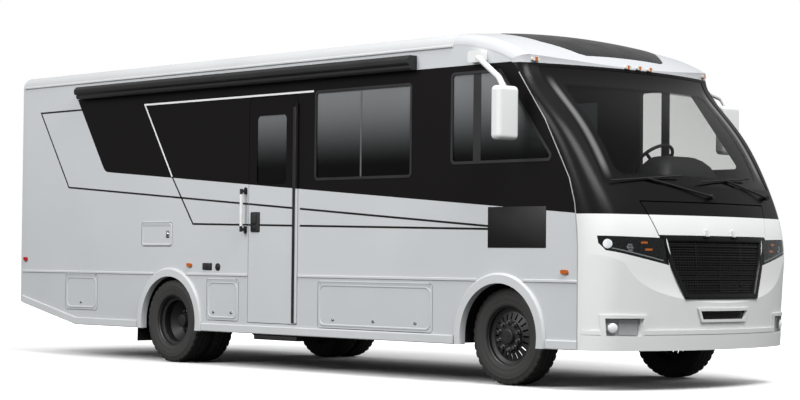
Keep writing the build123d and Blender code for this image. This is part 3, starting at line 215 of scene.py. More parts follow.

# %% [markdown]
# ## Moulded front cap
# The cap is one glass-fibre moulding in white gelcoat, glossy and slightly wavy. Black film covers it from the cowl
# up round the windshield to the brow, so a mask by height paints it, and the hood below shares the finish. The brow
# is painted a greyer white than the rest of the same moulding, which is painted shade.

# %% Front cap
COWL_Z, BROW_Z, SCREEN_TOP_Z = 1.411, 2.665, 2.5
STRIP_Z, STRIP_HALF_HEIGHT, STRIP_HALF_WIDTH = 1.2325, 0.0125, 0.69
GEL_WHITE = ("#D9DADA", "#E0E1E1")


def cap_mask(x, y, z):
    """1 between the cowl line and the brow line, and on the narrow strip above the grille."""
    upper = reckon("COMPARE", z, (COWL_Z + BROW_Z) / 2, (BROW_Z - COWL_Z) / 2)
    strip = reckon("COMPARE", z, STRIP_Z, STRIP_HALF_HEIGHT)
    middle = reckon("COMPARE", y, 0, STRIP_HALF_WIDTH)
    return reckon("MULTIPLY_ADD", strip, middle, upper)


def brow_painted_shade_mask(x, y, z):
    """1 on the brow over the windshield, where the same gelcoat is painted greyer as painted shade."""
    return reckon("GREATER_THAN", z, SCREEN_TOP_Z)


# The brow film is painted shade: a greyer white on the same gelcoat as the hood.
make_finish("glass_fibre_gelcoat_white_black_painted_shade", *GEL_WHITE, (0.16, 0.24), 600, 14, 0.05,
            [(brow_painted_shade_mask, "#B9BBBE", 0.25), (cap_mask, "#141314", 0.3)], specular=0.14,
            worn_by=["front_cap", "front_hood"])
make_finish("glass_fibre_gelcoat_white", *GEL_WHITE, (0.18, 0.26), 600, 14, 0.05, specular=0.3,
            worn_by=["front_bumper", "mirrors"])
# The roof sheet is painted greyer than the cap's white, as painted shade against the stronger light from above.
make_finish("roof_sheet_tpo_painted_shade_grey", "#B4B6B7", "#BEC0C1", (0.40, 0.55), 800, 3, 0.08, worn_by=["roof", "roof_vents"])
print("front and roof finished")

# %% [markdown]
# ## Trim, seals, rubber and underframe
# Extruded trims are painted near the wall's grey. Window seals, wipers and the awning case are black plastic or
# powder-coated aluminium, which differ mostly in how soft their highlight is. Steel below the floor is black
# chassis paint with dust on it.

# %% Plain finishes
plain_rows = [
    # name, dark, light, roughness, patch, grain and relief in mm, CAD nodes that wear it
    ("aluminium_trim_painted_grey", "#C2C5C6", "#CDCFD0", (0.28, 0.36), 300, 4, 0.02, ["body_trims", "rear_bumper"]),
    ("epdm_seal_black", "#111112", "#19191A", (0.45, 0.60), 120, 1.5, 0.05, ["window_frames", "wipers"]),
    ("aluminium_powder_coat_black", "#121213", "#1A1A1B", (0.34, 0.44), 250, 1.2, 0.04, ["awning_case"]),
    ("steel_chassis_paint_dusty", "#141414", "#232221", (0.45, 0.75), 140, 3, 0.15,
     ["chassis_frame", "rear_axle", "propeller_shaft", "front_axle", "leaf_springs", "knuckle_left", "knuckle_right",
      "tow_receiver", "fuel_tank"]),
    ("moulded_rubber_black", "#161616", "#202020", (0.60, 0.80), 80, 2, 0.15, ["mud_flaps"]),
    ("step_tread_powder_coat_black", "#161616", "#1E1E1E", (0.55, 0.75), 100, 1.5, 0.2,
     ["entry_step", "entry_stairs"]),
    ("plank_floor_vinyl", "#6B5A47", "#7E6B55", (0.40, 0.55), 180, 5, 0.05, ["body_floor"]),
    ("baggage_liner_pe_black", "#1C1C1C", "#262626", (0.55, 0.70), 150, 2, 0.1, ["baggage_boxes"]),
    ("dashboard_pvc_grained_black", "#1A1A1B", "#222223", (0.50, 0.65), 160, 1.2, 0.12,
     ["dashboard", "steering_wheel"]),
]
plain = {}
for name, *look, worn_by in plain_rows:
    plain[name] = make_finish(name, *look, worn_by=worn_by)
seal_black, powder_black = plain["epdm_seal_black"], plain["aluminium_powder_coat_black"]
gloss_black = make_finish("abs_gloss_black", "#0C0C0D", "#121213", (0.22, 0.32), 200, 8, 0.02, specular=0.25,
                          worn_by=["dome_panel", "grille"])
make_finish("cast_iron_oily", "#2A2927", "#3C3936", (0.45, 0.65), 90, 2.5, 0.3, metallic=0.6,
            worn_by=["engine_and_gearbox"])
make_finish("aluminised_steel_heat_stained", "#5C564E", "#8B8882", (0.35, 0.55), 110, 2, 0.05, metallic=0.9,
            worn_by=["exhaust"])
print("finishes from the table:", len(plain))

# %% [markdown]
# ## Glass
# Thin panes are made from a clear shader under a mirror that grows with the slant, because panes in a coach don't
# bend the view and this lets daylight into the cab. The side panes are privacy tinted, and a pale layer over the
# top of the entry-side ones is a painted reflection. The windshield has a black ceramic border, which a mask by width
# and height draws, with a painted highlight up each side.

# %% Panes
RIPPLE_SCALE, RIPPLE_HEIGHT = 3.0, 0.0006
MIRROR_HEAD_ON, MIRROR_SLANTED, SLANT_POWER = 0.014, 0.5, 4.0


def pane(name, tint, painted_reflection=None, border=None):
    """Thin glass. tint is a hex value or a function that makes a colour socket, painted_reflection makes a socket for
    the share of a pale layer that is a painted reflection, and border is (mask, colour maker) of a ceramic print,
    which may carry a painted highlight."""
    made, tree, output = new_material(name)
    place = add_node(tree, "ShaderNodeTexCoord").outputs["Object"]
    ripple = add_node(tree, "ShaderNodeTexNoise", {"Vector": place, "Scale": RIPPLE_SCALE, "Detail": 1})
    wave = add_node(tree, "ShaderNodeBump", {"Height": ripple.outputs["Fac"], "Distance": RIPPLE_HEIGHT})
    colour = linear(tint) if isinstance(tint, str) else tint(*axes_of(tree, place))
    surface = add_node(tree, "ShaderNodeBsdfTransparent", {"Color": colour}).outputs[0]
    if painted_reflection:
        # A pale diffuse layer over a share of the pane: a painted reflection.
        reflection_haze = add_node(tree, "ShaderNodeBsdfDiffuse", {"Color": linear("#B4B7B9")})
        surface = layered(painted_reflection(*axes_of(tree, place)), surface, reflection_haze.outputs[0])
    mirror = add_node(tree, "ShaderNodeBsdfGlossy", {"Roughness": 0.03, "Normal": wave.outputs["Normal"]})
    slant = add_node(tree, "ShaderNodeLayerWeight", {"Blend": 0.5}).outputs["Facing"]
    share = reckon("MULTIPLY_ADD", reckon("POWER", slant, SLANT_POWER), MIRROR_SLANTED, MIRROR_HEAD_ON)
    surface = layered(share, surface, mirror.outputs[0])
    if border:
        mask, print_and_highlight_colour = border
        print_and_highlight_layer = add_node(tree, "ShaderNodeBsdfPrincipled", {
            "Base Color": print_and_highlight_colour(*axes_of(tree, place)), "Roughness": 0.15, "Specular IOR Level": 0.3})
        surface = layered(mask(*axes_of(tree, place)), surface, print_and_highlight_layer.outputs[0])
    tree.links.new(surface, output.inputs["Surface"])
    return made


clear_cover = pane("polycarbonate_lens_clear", "#F6F8F8")
print("pane shader ready")

# %% [markdown]
# The print on the windshield leaves a clear field with round lower corners. A painted highlight runs up each side
# of it: a soft pale streak in the print, where bending glass would catch the light.

# %% Windshield
FIELD_HALF_WIDTH, FIELD_FOOT, FIELD_TOP, FIELD_FADE = 0.925, 1.72, 2.50, 0.03
LOW_CORNER, HIGH_CORNER = 0.12, 0.08
# The pale streak up each side of the border is a painted highlight in the print colour.
HIGHLIGHT_Y, HIGHLIGHT_CORE, HIGHLIGHT_REACH, HIGHLIGHT_SHARE = 1.0, 0.004, 0.045, 0.17
HIGHLIGHT_MIDDLE, HIGHLIGHT_FULL, HIGHLIGHT_END = 2.13, 0.28, 0.45


def screen_border(x, y, z):
    """1 on the windshield's printed border, 0 in the clear field."""
    side = reckon("SUBTRACT", FIELD_HALF_WIDTH, reckon("ABSOLUTE", y))
    low = reckon("SMOOTH_MIN", side, reckon("SUBTRACT", z, FIELD_FOOT), LOW_CORNER)
    field = reckon("SMOOTH_MIN", low, reckon("SUBTRACT", FIELD_TOP, z), HIGH_CORNER)
    return ramp(field, 0, FIELD_FADE, 1, 0, "LINEAR")


def border_print_and_painted_highlight(x, y, z):
    """Black print with a painted highlight up each side: a pale streak that fades out towards both ends."""
    off_line = reckon("SUBTRACT", reckon("ABSOLUTE", y), HIGHLIGHT_Y)
    painted_highlight = ramp(reckon("ABSOLUTE", off_line), HIGHLIGHT_CORE, HIGHLIGHT_REACH, HIGHLIGHT_SHARE, 0)
    from_middle = reckon("ABSOLUTE", reckon("SUBTRACT", z, HIGHLIGHT_MIDDLE))
    amount = reckon("MULTIPLY", painted_highlight, ramp(from_middle, HIGHLIGHT_FULL, HIGHLIGHT_END, 1, 0))
    return blend(amount, linear("#0B0B0C"), linear("#E8E8E8"))


wear(["windshield"], pane("laminated_windshield_ceramic_border_painted_highlight", "#EDEEED", border=(screen_border, border_print_and_painted_highlight)))
print("windshield printed")

# %% Side glass
CAB_REAR_X = 2.2
# A pale diffuse layer over the entry-side panes, growing towards their top, is a painted reflection.
REFLECTION_FOOT, REFLECTION_TOP, REFLECTION_SHARE = 1.85, 2.62, 0.42


def side_tint(x, y, z):
    """Dark privacy tint, except for the driver's pane on the left, which is clear by law."""
    left = reckon("GREATER_THAN", y, 0)
    driver = reckon("MULTIPLY", left, reckon("GREATER_THAN", x, CAB_REAR_X))
    return blend(driver, linear("#6A6D6F"), linear("#F3F3F3"))


def side_painted_reflection(x, y, z):
    """Painted reflection as a pale layer: strong at the top of a right-hand pane and gone at its foot."""
    rise = ramp(z, REFLECTION_FOOT, REFLECTION_TOP, 0, REFLECTION_SHARE)
    return reckon("MULTIPLY", rise, reckon("LESS_THAN", y, 0))


wear(["side_windows", "entry_door_glass"], pane("tempered_glass_privacy_tint_painted_reflection", side_tint, side_painted_reflection))
print("side glass tinted")

# %% [markdown]
# ## Lamps
# Signal lenses are dyed acrylic over a bright reflector, so a little light of their own makes the colour read in
# daylight. The headlamp housings are smoked black inside, and the lamps on the brow have white bodies.

# %% Lamps
AMBER = ("#A8520E", "#C4661C")
POD_TOP_Z, BROW_LAMPS_FOOT_Z = 0.65, 2.3
BROW_LAMPS_Y, LAMP_CORE = (-1.098, -0.144, 0.0, 0.144, 1.098), 0.012


def pod_mask(x, y, z):
    """1 on the fog lamp plates, which are painted grey, and 0 on the headlamps above."""
    return reckon("LESS_THAN", z, POD_TOP_Z)


def brow_body_mask(x, y, z):
    """1 on the white bodies of the brow lamps, 0 on their amber cores and on the side lamps."""
    body = reckon("GREATER_THAN", z, BROW_LAMPS_FOOT_Z)
    for lamp_y in BROW_LAMPS_Y:
        body = reckon("SUBTRACT", body, reckon("COMPARE", y, lamp_y, LAMP_CORE))
    return reckon("MAXIMUM", body, 0)


amber_lens = make_finish("acrylic_lens_amber", *AMBER, (0.08, 0.14), 20, 4, 0.2, glow=("#FF8A2A", 0.04))
lit_lens = make_finish("frosted_lamp_lens", "#C9CBCD", "#E3E5E7", (0.10, 0.18), 15, 5, 0.2, glow=("#FFFFFF", 0.12))
satin_silver = make_finish("abs_painted_satin_silver", "#8F9193", "#A2A4A6", (0.32, 0.45), 40, 2, 0.03)
bright_reflector = make_finish("vapour_chrome_reflector", "#C8CACC", "#E2E4E6", (0.08, 0.16), 20, 6, 0.3,
                               metallic=1.0)
make_finish("acrylic_lens_red", "#8E0F10", "#A81616", (0.08, 0.14), 20, 4, 0.2, glow=("#C01010", 0.12),
            worn_by=["tail_lamps"])
make_finish("acrylic_lens_amber_white_body", *AMBER, (0.08, 0.14), 20, 4, 0.2, [(brow_body_mask, "#CFCBC4", 0.25)],
            worn_by=["marker_lamps"])
make_finish("polycarbonate_lamp_housing_black", "#0B0B0C", "#131314", (0.2, 0.3), 60, 6, 0.05,
            [(pod_mask, "#8E8F90", 0.45)], specular=0.25, worn_by=["headlamps"])
print("lamps done")

# %% [markdown]
# ## Rubber and wheel paint
# Tyre rubber is dull with a brownish bloom on the sidewall. The steel wheels are painted dark grey and hold dust.

# %% Rubber and wheel paint
tyre_rubber = make_finish("tyre_rubber_black", "#2A2928", "#383736", (0.62, 0.82), 60, 2, 0.2)
wheel_paint = make_finish("steel_wheel_paint_dark_grey", "#262627", "#333334", (0.34, 0.5), 50, 2, 0.06,
                          metallic=0.35, worn_by=[n for n in nodes if n.startswith("wheel")])
print("rubber and wheel paint ready")

# %% [markdown]
# ## Tools for the added pieces
# Most of the small parts are one of three kinds: a section carried along a path (tape, beads, bars), a rounded plate
# on a wall (latches, covers) or a turned shape (lamps, caps, nuts). All are rows of loops with a skin over them.
# Modifiers could do it too, but functions that return vertices and faces let several be joined into one light object.


# %% Objects and skins
def new_object(name, shape):
    """Linked object with a mesh from (vertices, faces)."""
    mesh = bpy.data.meshes.new(name)
    mesh.from_pydata([tuple(v) for v in shape[0]], [], shape[1])
    made = bpy.data.objects.new(name, mesh)
    bpy.context.scene.collection.objects.link(made)
    return made


def add_piece(name, shape, material, body=COACH, sharp=38):
    """One object with smooth shading below the sharp angle, riding on a body."""
    made = new_object(name, shape)
    mesh, work = made.data, bmesh.new()
    work.from_mesh(mesh)
    bmesh.ops.recalc_face_normals(work, faces=work.faces)
    work.to_mesh(mesh)
    work.free()
    mesh.polygons.foreach_set("use_smooth", [True] * len(mesh.polygons))
    mesh.set_sharp_from_angle(angle=math.radians(sharp))
    mesh.materials.append(material)
    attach(made, body)
    return made


def joined(shapes):
    """Several (vertices, faces) as one."""
    vertices, faces = [], []
    for shape_vertices, shape_faces in shapes:
        start = len(vertices)
        vertices += shape_vertices
        faces += [tuple(start + i for i in face) for face in shape_faces]
    return vertices, faces


def stacked(loops, closed=False):
    """Skin over a row of loops with equally many points, closed into a ring or with a flat face at each end."""
    size, last, faces = len(loops[0]), len(loops) - 1, []
    for i in range(len(loops) if closed else last):
        here, there = i * size, (i + 1) % len(loops) * size
        for k in range(size):
            side = (k + 1) % size
            faces.append((here + k, here + side, there + side, there + k))
    if not closed:
        faces += [tuple(range(size)), tuple(range(last * size, len(loops) * size))]
    return [point for loop in loops for point in loop], faces


print("object and skin helpers ready")

# %% Swept, turned and rounded shapes
MITRE_FLOOR, CORNER_STEPS = 0.35, 5


def symmetric(half):
    """A whole section from its left half of (across, out) points."""
    return half + [(-u, w) for u, w in reversed(half)]


def swept(path, outward, section, closed=False):
    """A section of (across, out) points carried along a path, with mitred corners."""
    count, loops = len(path), []
    for i, point in enumerate(path):
        before = (point - path[i - 1]).normalized() if closed or i else None
        after = (path[(i + 1) % count] - point).normalized() if closed or i < count - 1 else None
        before, after = before or after, after or before
        out = outward[i] if isinstance(outward, list) else outward
        along = (before + after).normalized()
        across = along.cross(out).normalized() / max(MITRE_FLOOR, along.dot(after))
        loops.append([point + across * u + out * w for u, w in section])
    return stacked(loops, closed)


def turned(profile, centre, axis, segments=24):
    """A profile of (radius, height) points turned about an axis that starts at the centre."""
    axis = axis.normalized()
    side = axis.orthogonal().normalized()
    other = axis.cross(side)
    turns = [2 * math.pi * k / segments for k in range(segments)]
    spokes = [side * math.cos(turn) + other * math.sin(turn) for turn in turns]
    return stacked([[centre + axis * height + spoke * radius for spoke in spokes] for radius, height in profile])


def rounded_loop(across, upward, width, height, radius):
    """Rounded rectangle about a middle point, as (across, up) points."""
    points = []
    for quarter, (sx, sz) in enumerate(((1, 1), (-1, 1), (-1, -1), (1, -1))):
        for k in range(CORNER_STEPS + 1):
            turn = math.pi / 2 * (quarter + k / CORNER_STEPS)
            points.append((across + (sx * (width / 2 - radius) + radius * math.cos(turn)),
                           upward + (sz * (height / 2 - radius) + radius * math.sin(turn))))
    return points


def block(levels):
    """A closed stack of rounded rectangles; each level is (x, y, z, depth, width, corner radius)."""
    return stacked([[Vector((u, w, z)) for u, w in rounded_loop(x, y, depth, width, radius)]
                    for x, y, z, depth, width, radius in levels])


print("shape helpers ready")


# %% Shapes on a side wall
def wall_point(x, z, hand=-1, out=0.0):
    """Place on a side wall or a little out from it; hand is -1 on the entry side."""
    return Vector((x, hand * (HALF_WIDTH + out), z))


def wall_bar(points, section, hand=-1, out=0.0, closed=False):
    """A section carried along (x, z) points on a side wall."""
    return swept([wall_point(x, z, hand, out) for x, z in points], Vector((0, hand, 0)), section, closed)


def wall_plate(x, z, width, height, radius, out_from, out_to, hand=-1, edge=0.003):
    """Rounded plate on a side wall with a soft rim."""
    loops = []
    for inset, out in ((0, out_from), (0, out_to - edge), (edge * 0.3, out_to - edge * 0.3), (edge, out_to)):
        loop = rounded_loop(x, z, width - 2 * inset, height - 2 * inset, max(radius - inset, 0.001))
        loops.append([wall_point(u, w, hand, out) for u, w in loop])
    return stacked(loops)


print("wall helpers ready")

# %% [markdown]
# ## Tape stripes
# Two thin lines of vinyl tape frame the side: one starts behind the band, drops at a slant and runs forward, and the
# other is white on the band and turns black below it. A stripe that crosses the door is cut at its edges, so that
# the middle length swings with the door. The tape is drawn 0.8 mm thick, more than the real one, for a clean edge.

# %% Tape stripes
tape_black = make_finish("vinyl_tape_gloss_black", "#121112", "#171617", (0.3, 0.4), 200, 3, 0.01, specular=0.25)
tape_white = make_finish("vinyl_tape_gloss_white", "#E4E5E5", "#ECEDED", (0.3, 0.4), 200, 3, 0.01)
TAPE = symmetric([(-0.009, -0.0002), (-0.009, 0.0008)])
DOOR_BACK, DOOR_FRONT, DOOR_GAP, HINGE_STRIP, FRAME_STRIP = -0.357, 0.349, 0.006, 0.07, 0.04
DOOR_CUTS = (DOOR_BACK - DOOR_GAP, DOOR_BACK, DOOR_FRONT - HINGE_STRIP, DOOR_FRONT + FRAME_STRIP)
stripes = [
    # name, material, corners (x, z)
    ("outer_stripe", tape_black, [(-3.155, 2.564), (-3.920, 2.562), (-3.376, 1.757), (2.809, 1.318)]),
    ("inner_stripe_white", tape_white, [(0.569, 2.560), (-2.040, 2.562), (-1.570, 1.829)]),
    ("inner_stripe_black", tape_black, [(-1.570, 1.829), (-1.221, 1.360), (2.810, 1.294)]),
]


def height_on(line, x):
    """Height of a straight line of two (x, z) points at x."""
    (x0, z0), (x1, z1) = line
    return z0 + (z1 - z0) * (x - x0) / (x1 - x0)


for name, tape, corners in stripes:
    last = corners[-2:]
    crosses_door = last[0][0] < DOOR_BACK and last[1][0] > DOOR_FRONT
    for hand, side in SIDES:
        runs = [(corners, COACH, "")]
        if crosses_door and hand < 0:
            cuts = [(x, height_on(last, x)) for x in DOOR_CUTS]
            runs = [(corners[:-1] + cuts[:1], COACH, "_rear"), (cuts[1:3], "entry_door", "_door"),
                    (cuts[3:] + corners[-1:], COACH, "_front")]
        for points, body, part in runs:
            add_piece(f"{name}_{side}{part}", wall_bar(points, TAPE, hand), tape, body)
blank = wall_plate(3.138, 1.3065, 0.659, 0.339, 0.004, -0.001, 0.002, edge=0.001)
add_piece("plain_tape_panel", blank, tape_black)
print("stripes laid:", len(stripes))

# %% [markdown]
# ## Baggage lids, hatch and door fittings
# Each lid is pressed sheet with a raised bead a finger's width in from its edge, and small paddle latches along its
# foot. The beads are low sections swept round a rounded rectangle, and they ride on their lids.

# %% Lids and latches
BEAD = symmetric([(-0.011, -0.001), (-0.009, 0.003), (-0.004, 0.0055)])
BEAD_SHORTER, BEAD_LOWER, BEAD_DROP, BEAD_CORNER, LATCH_RISE = 0.05, 0.065, 0.006, 0.06, 0.075
chrome = make_finish("zinc_die_cast_chrome", "#B9BBBD", "#D2D4D6", (0.10, 0.18), 30, 2, 0.02, metallic=1.0)
lid_latches = {
    # lid: shares of its length where its latches sit
    "baggage_door_long_right": (0.14, 0.5, 0.86), "baggage_door_long_left": (0.14, 0.5, 0.86),
    "baggage_door_mid_right": (0.22, 0.78), "baggage_door_rear_right": (0.5,), "baggage_door_rear_left": (0.5,),
}


def lid_latch(x, z, hand):
    """Paddle latch: a flange with a finger paddle on it."""
    return joined([wall_plate(x, z, 0.040, 0.026, 0.012, -0.001, 0.004, hand),
                   wall_plate(x, z + 0.002, 0.026, 0.013, 0.006, 0.002, 0.009, hand)])


for lid, shares in lid_latches.items():
    low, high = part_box(lid)
    hand = -1 if low[1] < 0 else 1
    length, height = high[0] - low[0], high[2] - low[2]
    loop = rounded_loop((low[0] + high[0]) / 2, (low[2] + high[2]) / 2 - BEAD_DROP, length - BEAD_SHORTER,
                        height - BEAD_LOWER, BEAD_CORNER)
    add_piece(lid + "_bead", wall_bar(loop, BEAD, hand, closed=True), skirt_panel, lid)
    latches = [lid_latch(low[0] + share * length, low[2] + LATCH_RISE, hand) for share in shares]
    add_piece(lid + "_latches", joined(latches), chrome, lid)
print("lids fitted:", len(lid_latches))

# %% Service hatch
LATCH_KNOB = [(0.017, 0.004), (0.017, 0.010), (0.013, 0.013), (0.004, 0.013)]
low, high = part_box("service_hatch")
latch_x, latch_z = high[0] - 0.07, 1.262
hatch_latch = joined([wall_plate(latch_x, latch_z, 0.052, 0.075, 0.012, -0.001, 0.005),
                      turned(LATCH_KNOB, wall_point(latch_x, latch_z), Vector((0, -1, 0)))])
add_piece("service_hatch_latch", hatch_latch, chrome, "service_hatch")
hatch_loop = rounded_loop((low[0] + high[0]) / 2, 1.26, 0.475, 0.205, 0.02)
add_piece("service_hatch_bead", wall_bar(hatch_loop, BEAD, closed=True), side_panel, "service_hatch")
print("hatch fitted")

# %% [markdown]
# The entry door has a black latch plate with a pull handle, and a black extrusion covers its hinge along the front
# edge. Two black service fittings sit on the wall above the skirt.

# %% Door and wall fittings
latch_black = make_finish("glass_filled_nylon_black", "#141415", "#1D1D1E", (0.42, 0.55), 40, 1, 0.08)
HINGE_COVER = symmetric([(-0.024, -0.001), (-0.024, 0.006), (-0.018, 0.010)])
FILLER_CAP = [(0.037, -0.001), (0.037, 0.006), (0.033, 0.010), (0.026, 0.010), (0.024, 0.016), (0.006, 0.018)]
door_latch = joined([wall_plate(-0.255, 1.372, 0.132, 0.188, 0.014, -0.001, 0.010, edge=0.004),
                     wall_plate(-0.268, 1.398, 0.075, 0.095, 0.012, 0.006, 0.020, edge=0.006),
                     wall_plate(-0.268, 1.318, 0.034, 0.034, 0.016, 0.006, 0.016)])
add_piece("door_latch_plate", door_latch, latch_black, "entry_door")
hinge_cover = wall_bar([(0.309, 0.44), (0.309, 2.43)], HINGE_COVER)
add_piece("door_hinge_cover", hinge_cover, powder_black, "entry_door")
wall_socket = joined([wall_plate(-0.9825, 0.948, 0.143, 0.068, 0.010, -0.001, 0.008),
                      wall_plate(-1.016, 0.948, 0.058, 0.050, 0.008, 0.004, 0.014),
                      wall_plate(-0.949, 0.948, 0.058, 0.050, 0.008, 0.004, 0.014)])
add_piece("wall_socket", wall_socket, latch_black)
filler = turned(FILLER_CAP, wall_point(-0.818, 0.945), Vector((0, -1, 0)))
add_piece("water_filler_cap", filler, latch_black)
print("door and wall fittings done")

# %% [markdown]
# ## Window dividers and the cap seam
# The sliding panes meet at a slim divider, and a wide post splits each cab window. A bead of sealant covers the
# joint between the wall and the moulded cap, and follows it up the pillar.

# %% Dividers and seam
slider_grey = make_finish("aluminium_anodised_grey", "#6E7072", "#7B7D7F", (0.3, 0.42), 60, 1, 0.02, metallic=0.6)
sealant = make_finish("polyurethane_sealant_grey", "#8E9092", "#A0A2A3", (0.45, 0.6), 80, 4, 0.05)
PANE_OUT = -0.008
SLIM = symmetric([(-0.009, -0.002), (-0.009, 0.003)])
POST = symmetric([(-0.045, -0.010), (-0.045, 0.002)])
dividers = [
    # name, x, bottom, top, hand, section, material
    ("room_divider_right", 1.211, 1.767, 2.540, -1, SLIM, slider_grey),
    ("room_divider_left", 1.211, 1.767, 2.540, 1, SLIM, slider_grey),
    ("bed_divider_left", -3.17, 1.917, 2.540, 1, SLIM, slider_grey),
    ("cab_post_right", 2.665, 1.864, 2.596, -1, POST, seal_black),
    # The left cab post is painted the lighter anodised grey, unlike the black right one: painted light on a post in
    # shade.
    ("cab_post_left", 2.665, 1.864, 2.596, 1, POST, slider_grey),
]
for name, x, bottom, top, hand, section, bar_finish in dividers:
    add_piece(name, wall_bar([(x, bottom), (x, top)], section, hand, PANE_OUT), bar_finish)
SEAM = [(3.81, 0.34), (3.81, 1.15), (3.797, 1.32), (3.775, 1.50), (3.715, 1.70), (3.615, 1.88), (3.447, 2.18),
        (3.298, 2.38), (3.150, 2.58)]
SEAM_BEAD = [(-0.005, -0.001), (-0.0035, 0.0025), (0, 0.0035), (0.0035, 0.0025), (0.005, -0.001)]
for hand, side in SIDES:
    add_piece(f"cap_seam_bead_{side}", wall_bar(SEAM, SEAM_BEAD, hand), sealant)
print("dividers:", len(dividers))

# %% [markdown]
# ## Grille
# The opening is filled with a black rectangular wire mesh inside a bevelled frame. The wires follow the crown of the
# nose, so each one is a thin section swept over an arc of the same radius, a little behind the skin.

# %% Nose of the cap
NOSE_CROWN, NOSE_LEAN = 3.5, 0.12
NOSE_TIP = [(0.705, 4.318), (1.0, 4.282), (1.3, 4.250), (1.5, 4.180)]


def read_table(table, at):
    """Value between two rows of (place, value)."""
    for (p0, v0), (p1, v1) in zip(table, table[1:]):
        if min(p0, p1) <= at <= max(p0, p1):
            return v0 + (v1 - v0) * (at - p0) / (p1 - p0)
    return table[0][1] if abs(at - table[0][0]) < abs(at - table[-1][0]) else table[-1][1]


def nose_point(y, z, out=0.0):
    """Place on the moulded nose and the way its skin faces."""
    facing = Vector((math.sqrt(1 - (y / NOSE_CROWN) ** 2), y / NOSE_CROWN, NOSE_LEAN)).normalized()
    x = read_table(NOSE_TIP, z) - NOSE_CROWN + math.sqrt(NOSE_CROWN ** 2 - y ** 2)
    return Vector((x, y, z)) + facing * out, facing


def nose_path(points, step, out):
    """Points along straight front-view lines, spread on the nose, with the facing at each."""
    path, facing = [], []
    for (y0, z0), (y1, z1) in zip(points, points[1:]):
        count = max(1, round(math.hypot(y1 - y0, z1 - z0) / step))
        for k in range(count):
            place, face = nose_point(y0 + (y1 - y0) * k / count, z0 + (z1 - z0) * k / count, out)
            path.append(place)
            facing.append(face)
    return path, facing


print("nose shape ready")

# %% Grille
GRILLE_EDGE = [(1.232, 0.636), (1.0, 0.586), (0.748, 0.458)]
MESH_FOOT, MESH_TOP, MESH_INSET, MESH_OUT = 0.775, 1.207, 0.02, -0.012
MESH_SIDE = [(0.438, MESH_FOOT), (0.566, 1.0), (0.616, 1.205)]
ROWS, ROW_PITCH, ROW_STEP = 22, 0.0205, 0.1
COLUMNS_EACH_SIDE, COLUMN_PITCH, COLUMN_STEP = 20, 0.030, 0.11
END_STUB = 0.001
WIRE = symmetric([(-0.0022, -0.002), (-0.0022, 0.002)])
FRAME = [(0.012, -0.002), (0.012, 0.007), (0.002, 0.010), (-0.030, 0.004), (-0.042, -0.014), (-0.042, -0.026)]
wires = []
for k in range(ROWS):
    z = MESH_FOOT + k * ROW_PITCH
    reach = read_table(GRILLE_EDGE, z) - MESH_INSET
    row = nose_path([(-reach, z), (reach, z), (reach + END_STUB, z)], ROW_STEP, MESH_OUT)
    wires.append(swept(*row, WIRE))
for k in range(-COLUMNS_EACH_SIDE, COLUMNS_EACH_SIDE + 1):
    y = k * COLUMN_PITCH
    foot = read_table(MESH_SIDE, max(abs(y), MESH_SIDE[0][0]))
    column = nose_path([(y, foot), (y, MESH_TOP), (y, MESH_TOP + END_STUB)], COLUMN_STEP, MESH_OUT)
    wires.append(swept(*column, WIRE))
add_piece("grille_wire_mesh", joined(wires), powder_black)
loop = [(-y, z) for z, y in GRILLE_EDGE] + [(y, z) for z, y in reversed(GRILLE_EDGE)]
path, facing = nose_path(loop + loop[:1], 0.07, 0.0)
add_piece("grille_frame", swept(path, facing, FRAME, closed=True), gloss_black)
print("grille wires:", len(wires))

# %% [markdown]
# ## Headlamps and fog lamps
# Behind each clear cover sit a round lamp, a honeycomb projector, two amber slots and a bright strip along the lower
# edge. They stand on the black housing, whose face is found by casting a ray from ahead, and the cover lies just
# over them near the skin. The pods below hold a fog lens beside a silver panel.


# %% Lamp faces
def skin_of(name):
    """Tree of a CAD node's faces, for casting rays at."""
    mesh = nodes[name].data
    return BVHTree.FromPolygons([v.co for v in mesh.vertices], [p.vertices for p in mesh.polygons])


lamp_skin = skin_of("headlamps")


def on_lamp(y, z):
    """Place on a lamp housing, seen from ahead, and the way it faces."""
    place, facing, _, _ = lamp_skin.ray_cast(Vector((6, y, z)), Vector((-1, 0, 0)))
    return place, facing


def lamp_bar(points, at, base, top, height):
    """A bar along (y, z) points on a lamp housing that faces as the place `at`; base and top are half widths."""
    section = symmetric([(-base, 0), (-top, height)])
    return swept([on_lamp(*point)[0] for point in points], on_lamp(*at)[1], section)


print("lamp faces found")

# %% Headlamps
LAMP_TOP = [(0.644, 1.2235), (1.19, 1.2345)]
LAMP_FOOT = [(0.606, 1.011), (1.155, 1.126), (1.186, 1.18), (1.19, 1.2)]
COVER_INNER, COVER_OUTER, COVER_COLUMNS, COVER_ROWS = 0.644, 1.188, 27, 7
COVER_OUT, COVER_SHEET = Vector((0.0095, 0, 0)), Vector((-0.002, 0, 0))
ROUND_LAMP = [(0.038, 0), (0.038, 0.004), (0.030, 0.006), (0.016, 0.0065), (0.004, 0.0066)]
CELL = [(0.0105, 0), (0.0105, 0.004), (0.006, 0.006), (0.001, 0.0062)]
CELL_Y, CELL_Z, CELL_RINGS, CELL_STRETCH = 0.971, 1.143, ((0.0, 1), (0.021, 6)), 1.25
TURN_SLOTS = ((0.838, 1.186, 0.030), (0.800, 1.131, 0.034))
LAMP_STRIP_Y, LAMP_STRIP_RISE = (0.66, 0.74, 0.82, 0.90, 0.98, 1.06, 1.12), 0.022
FOG_LENS = [(0.039, -0.004), (0.039, 0.006), (0.034, 0.012), (0.020, 0.017), (0.005, 0.018)]
POD_PANEL_Y, POD_PANEL_Z = (0.876, 0.91, 0.95, 0.99, 1.03), 0.513
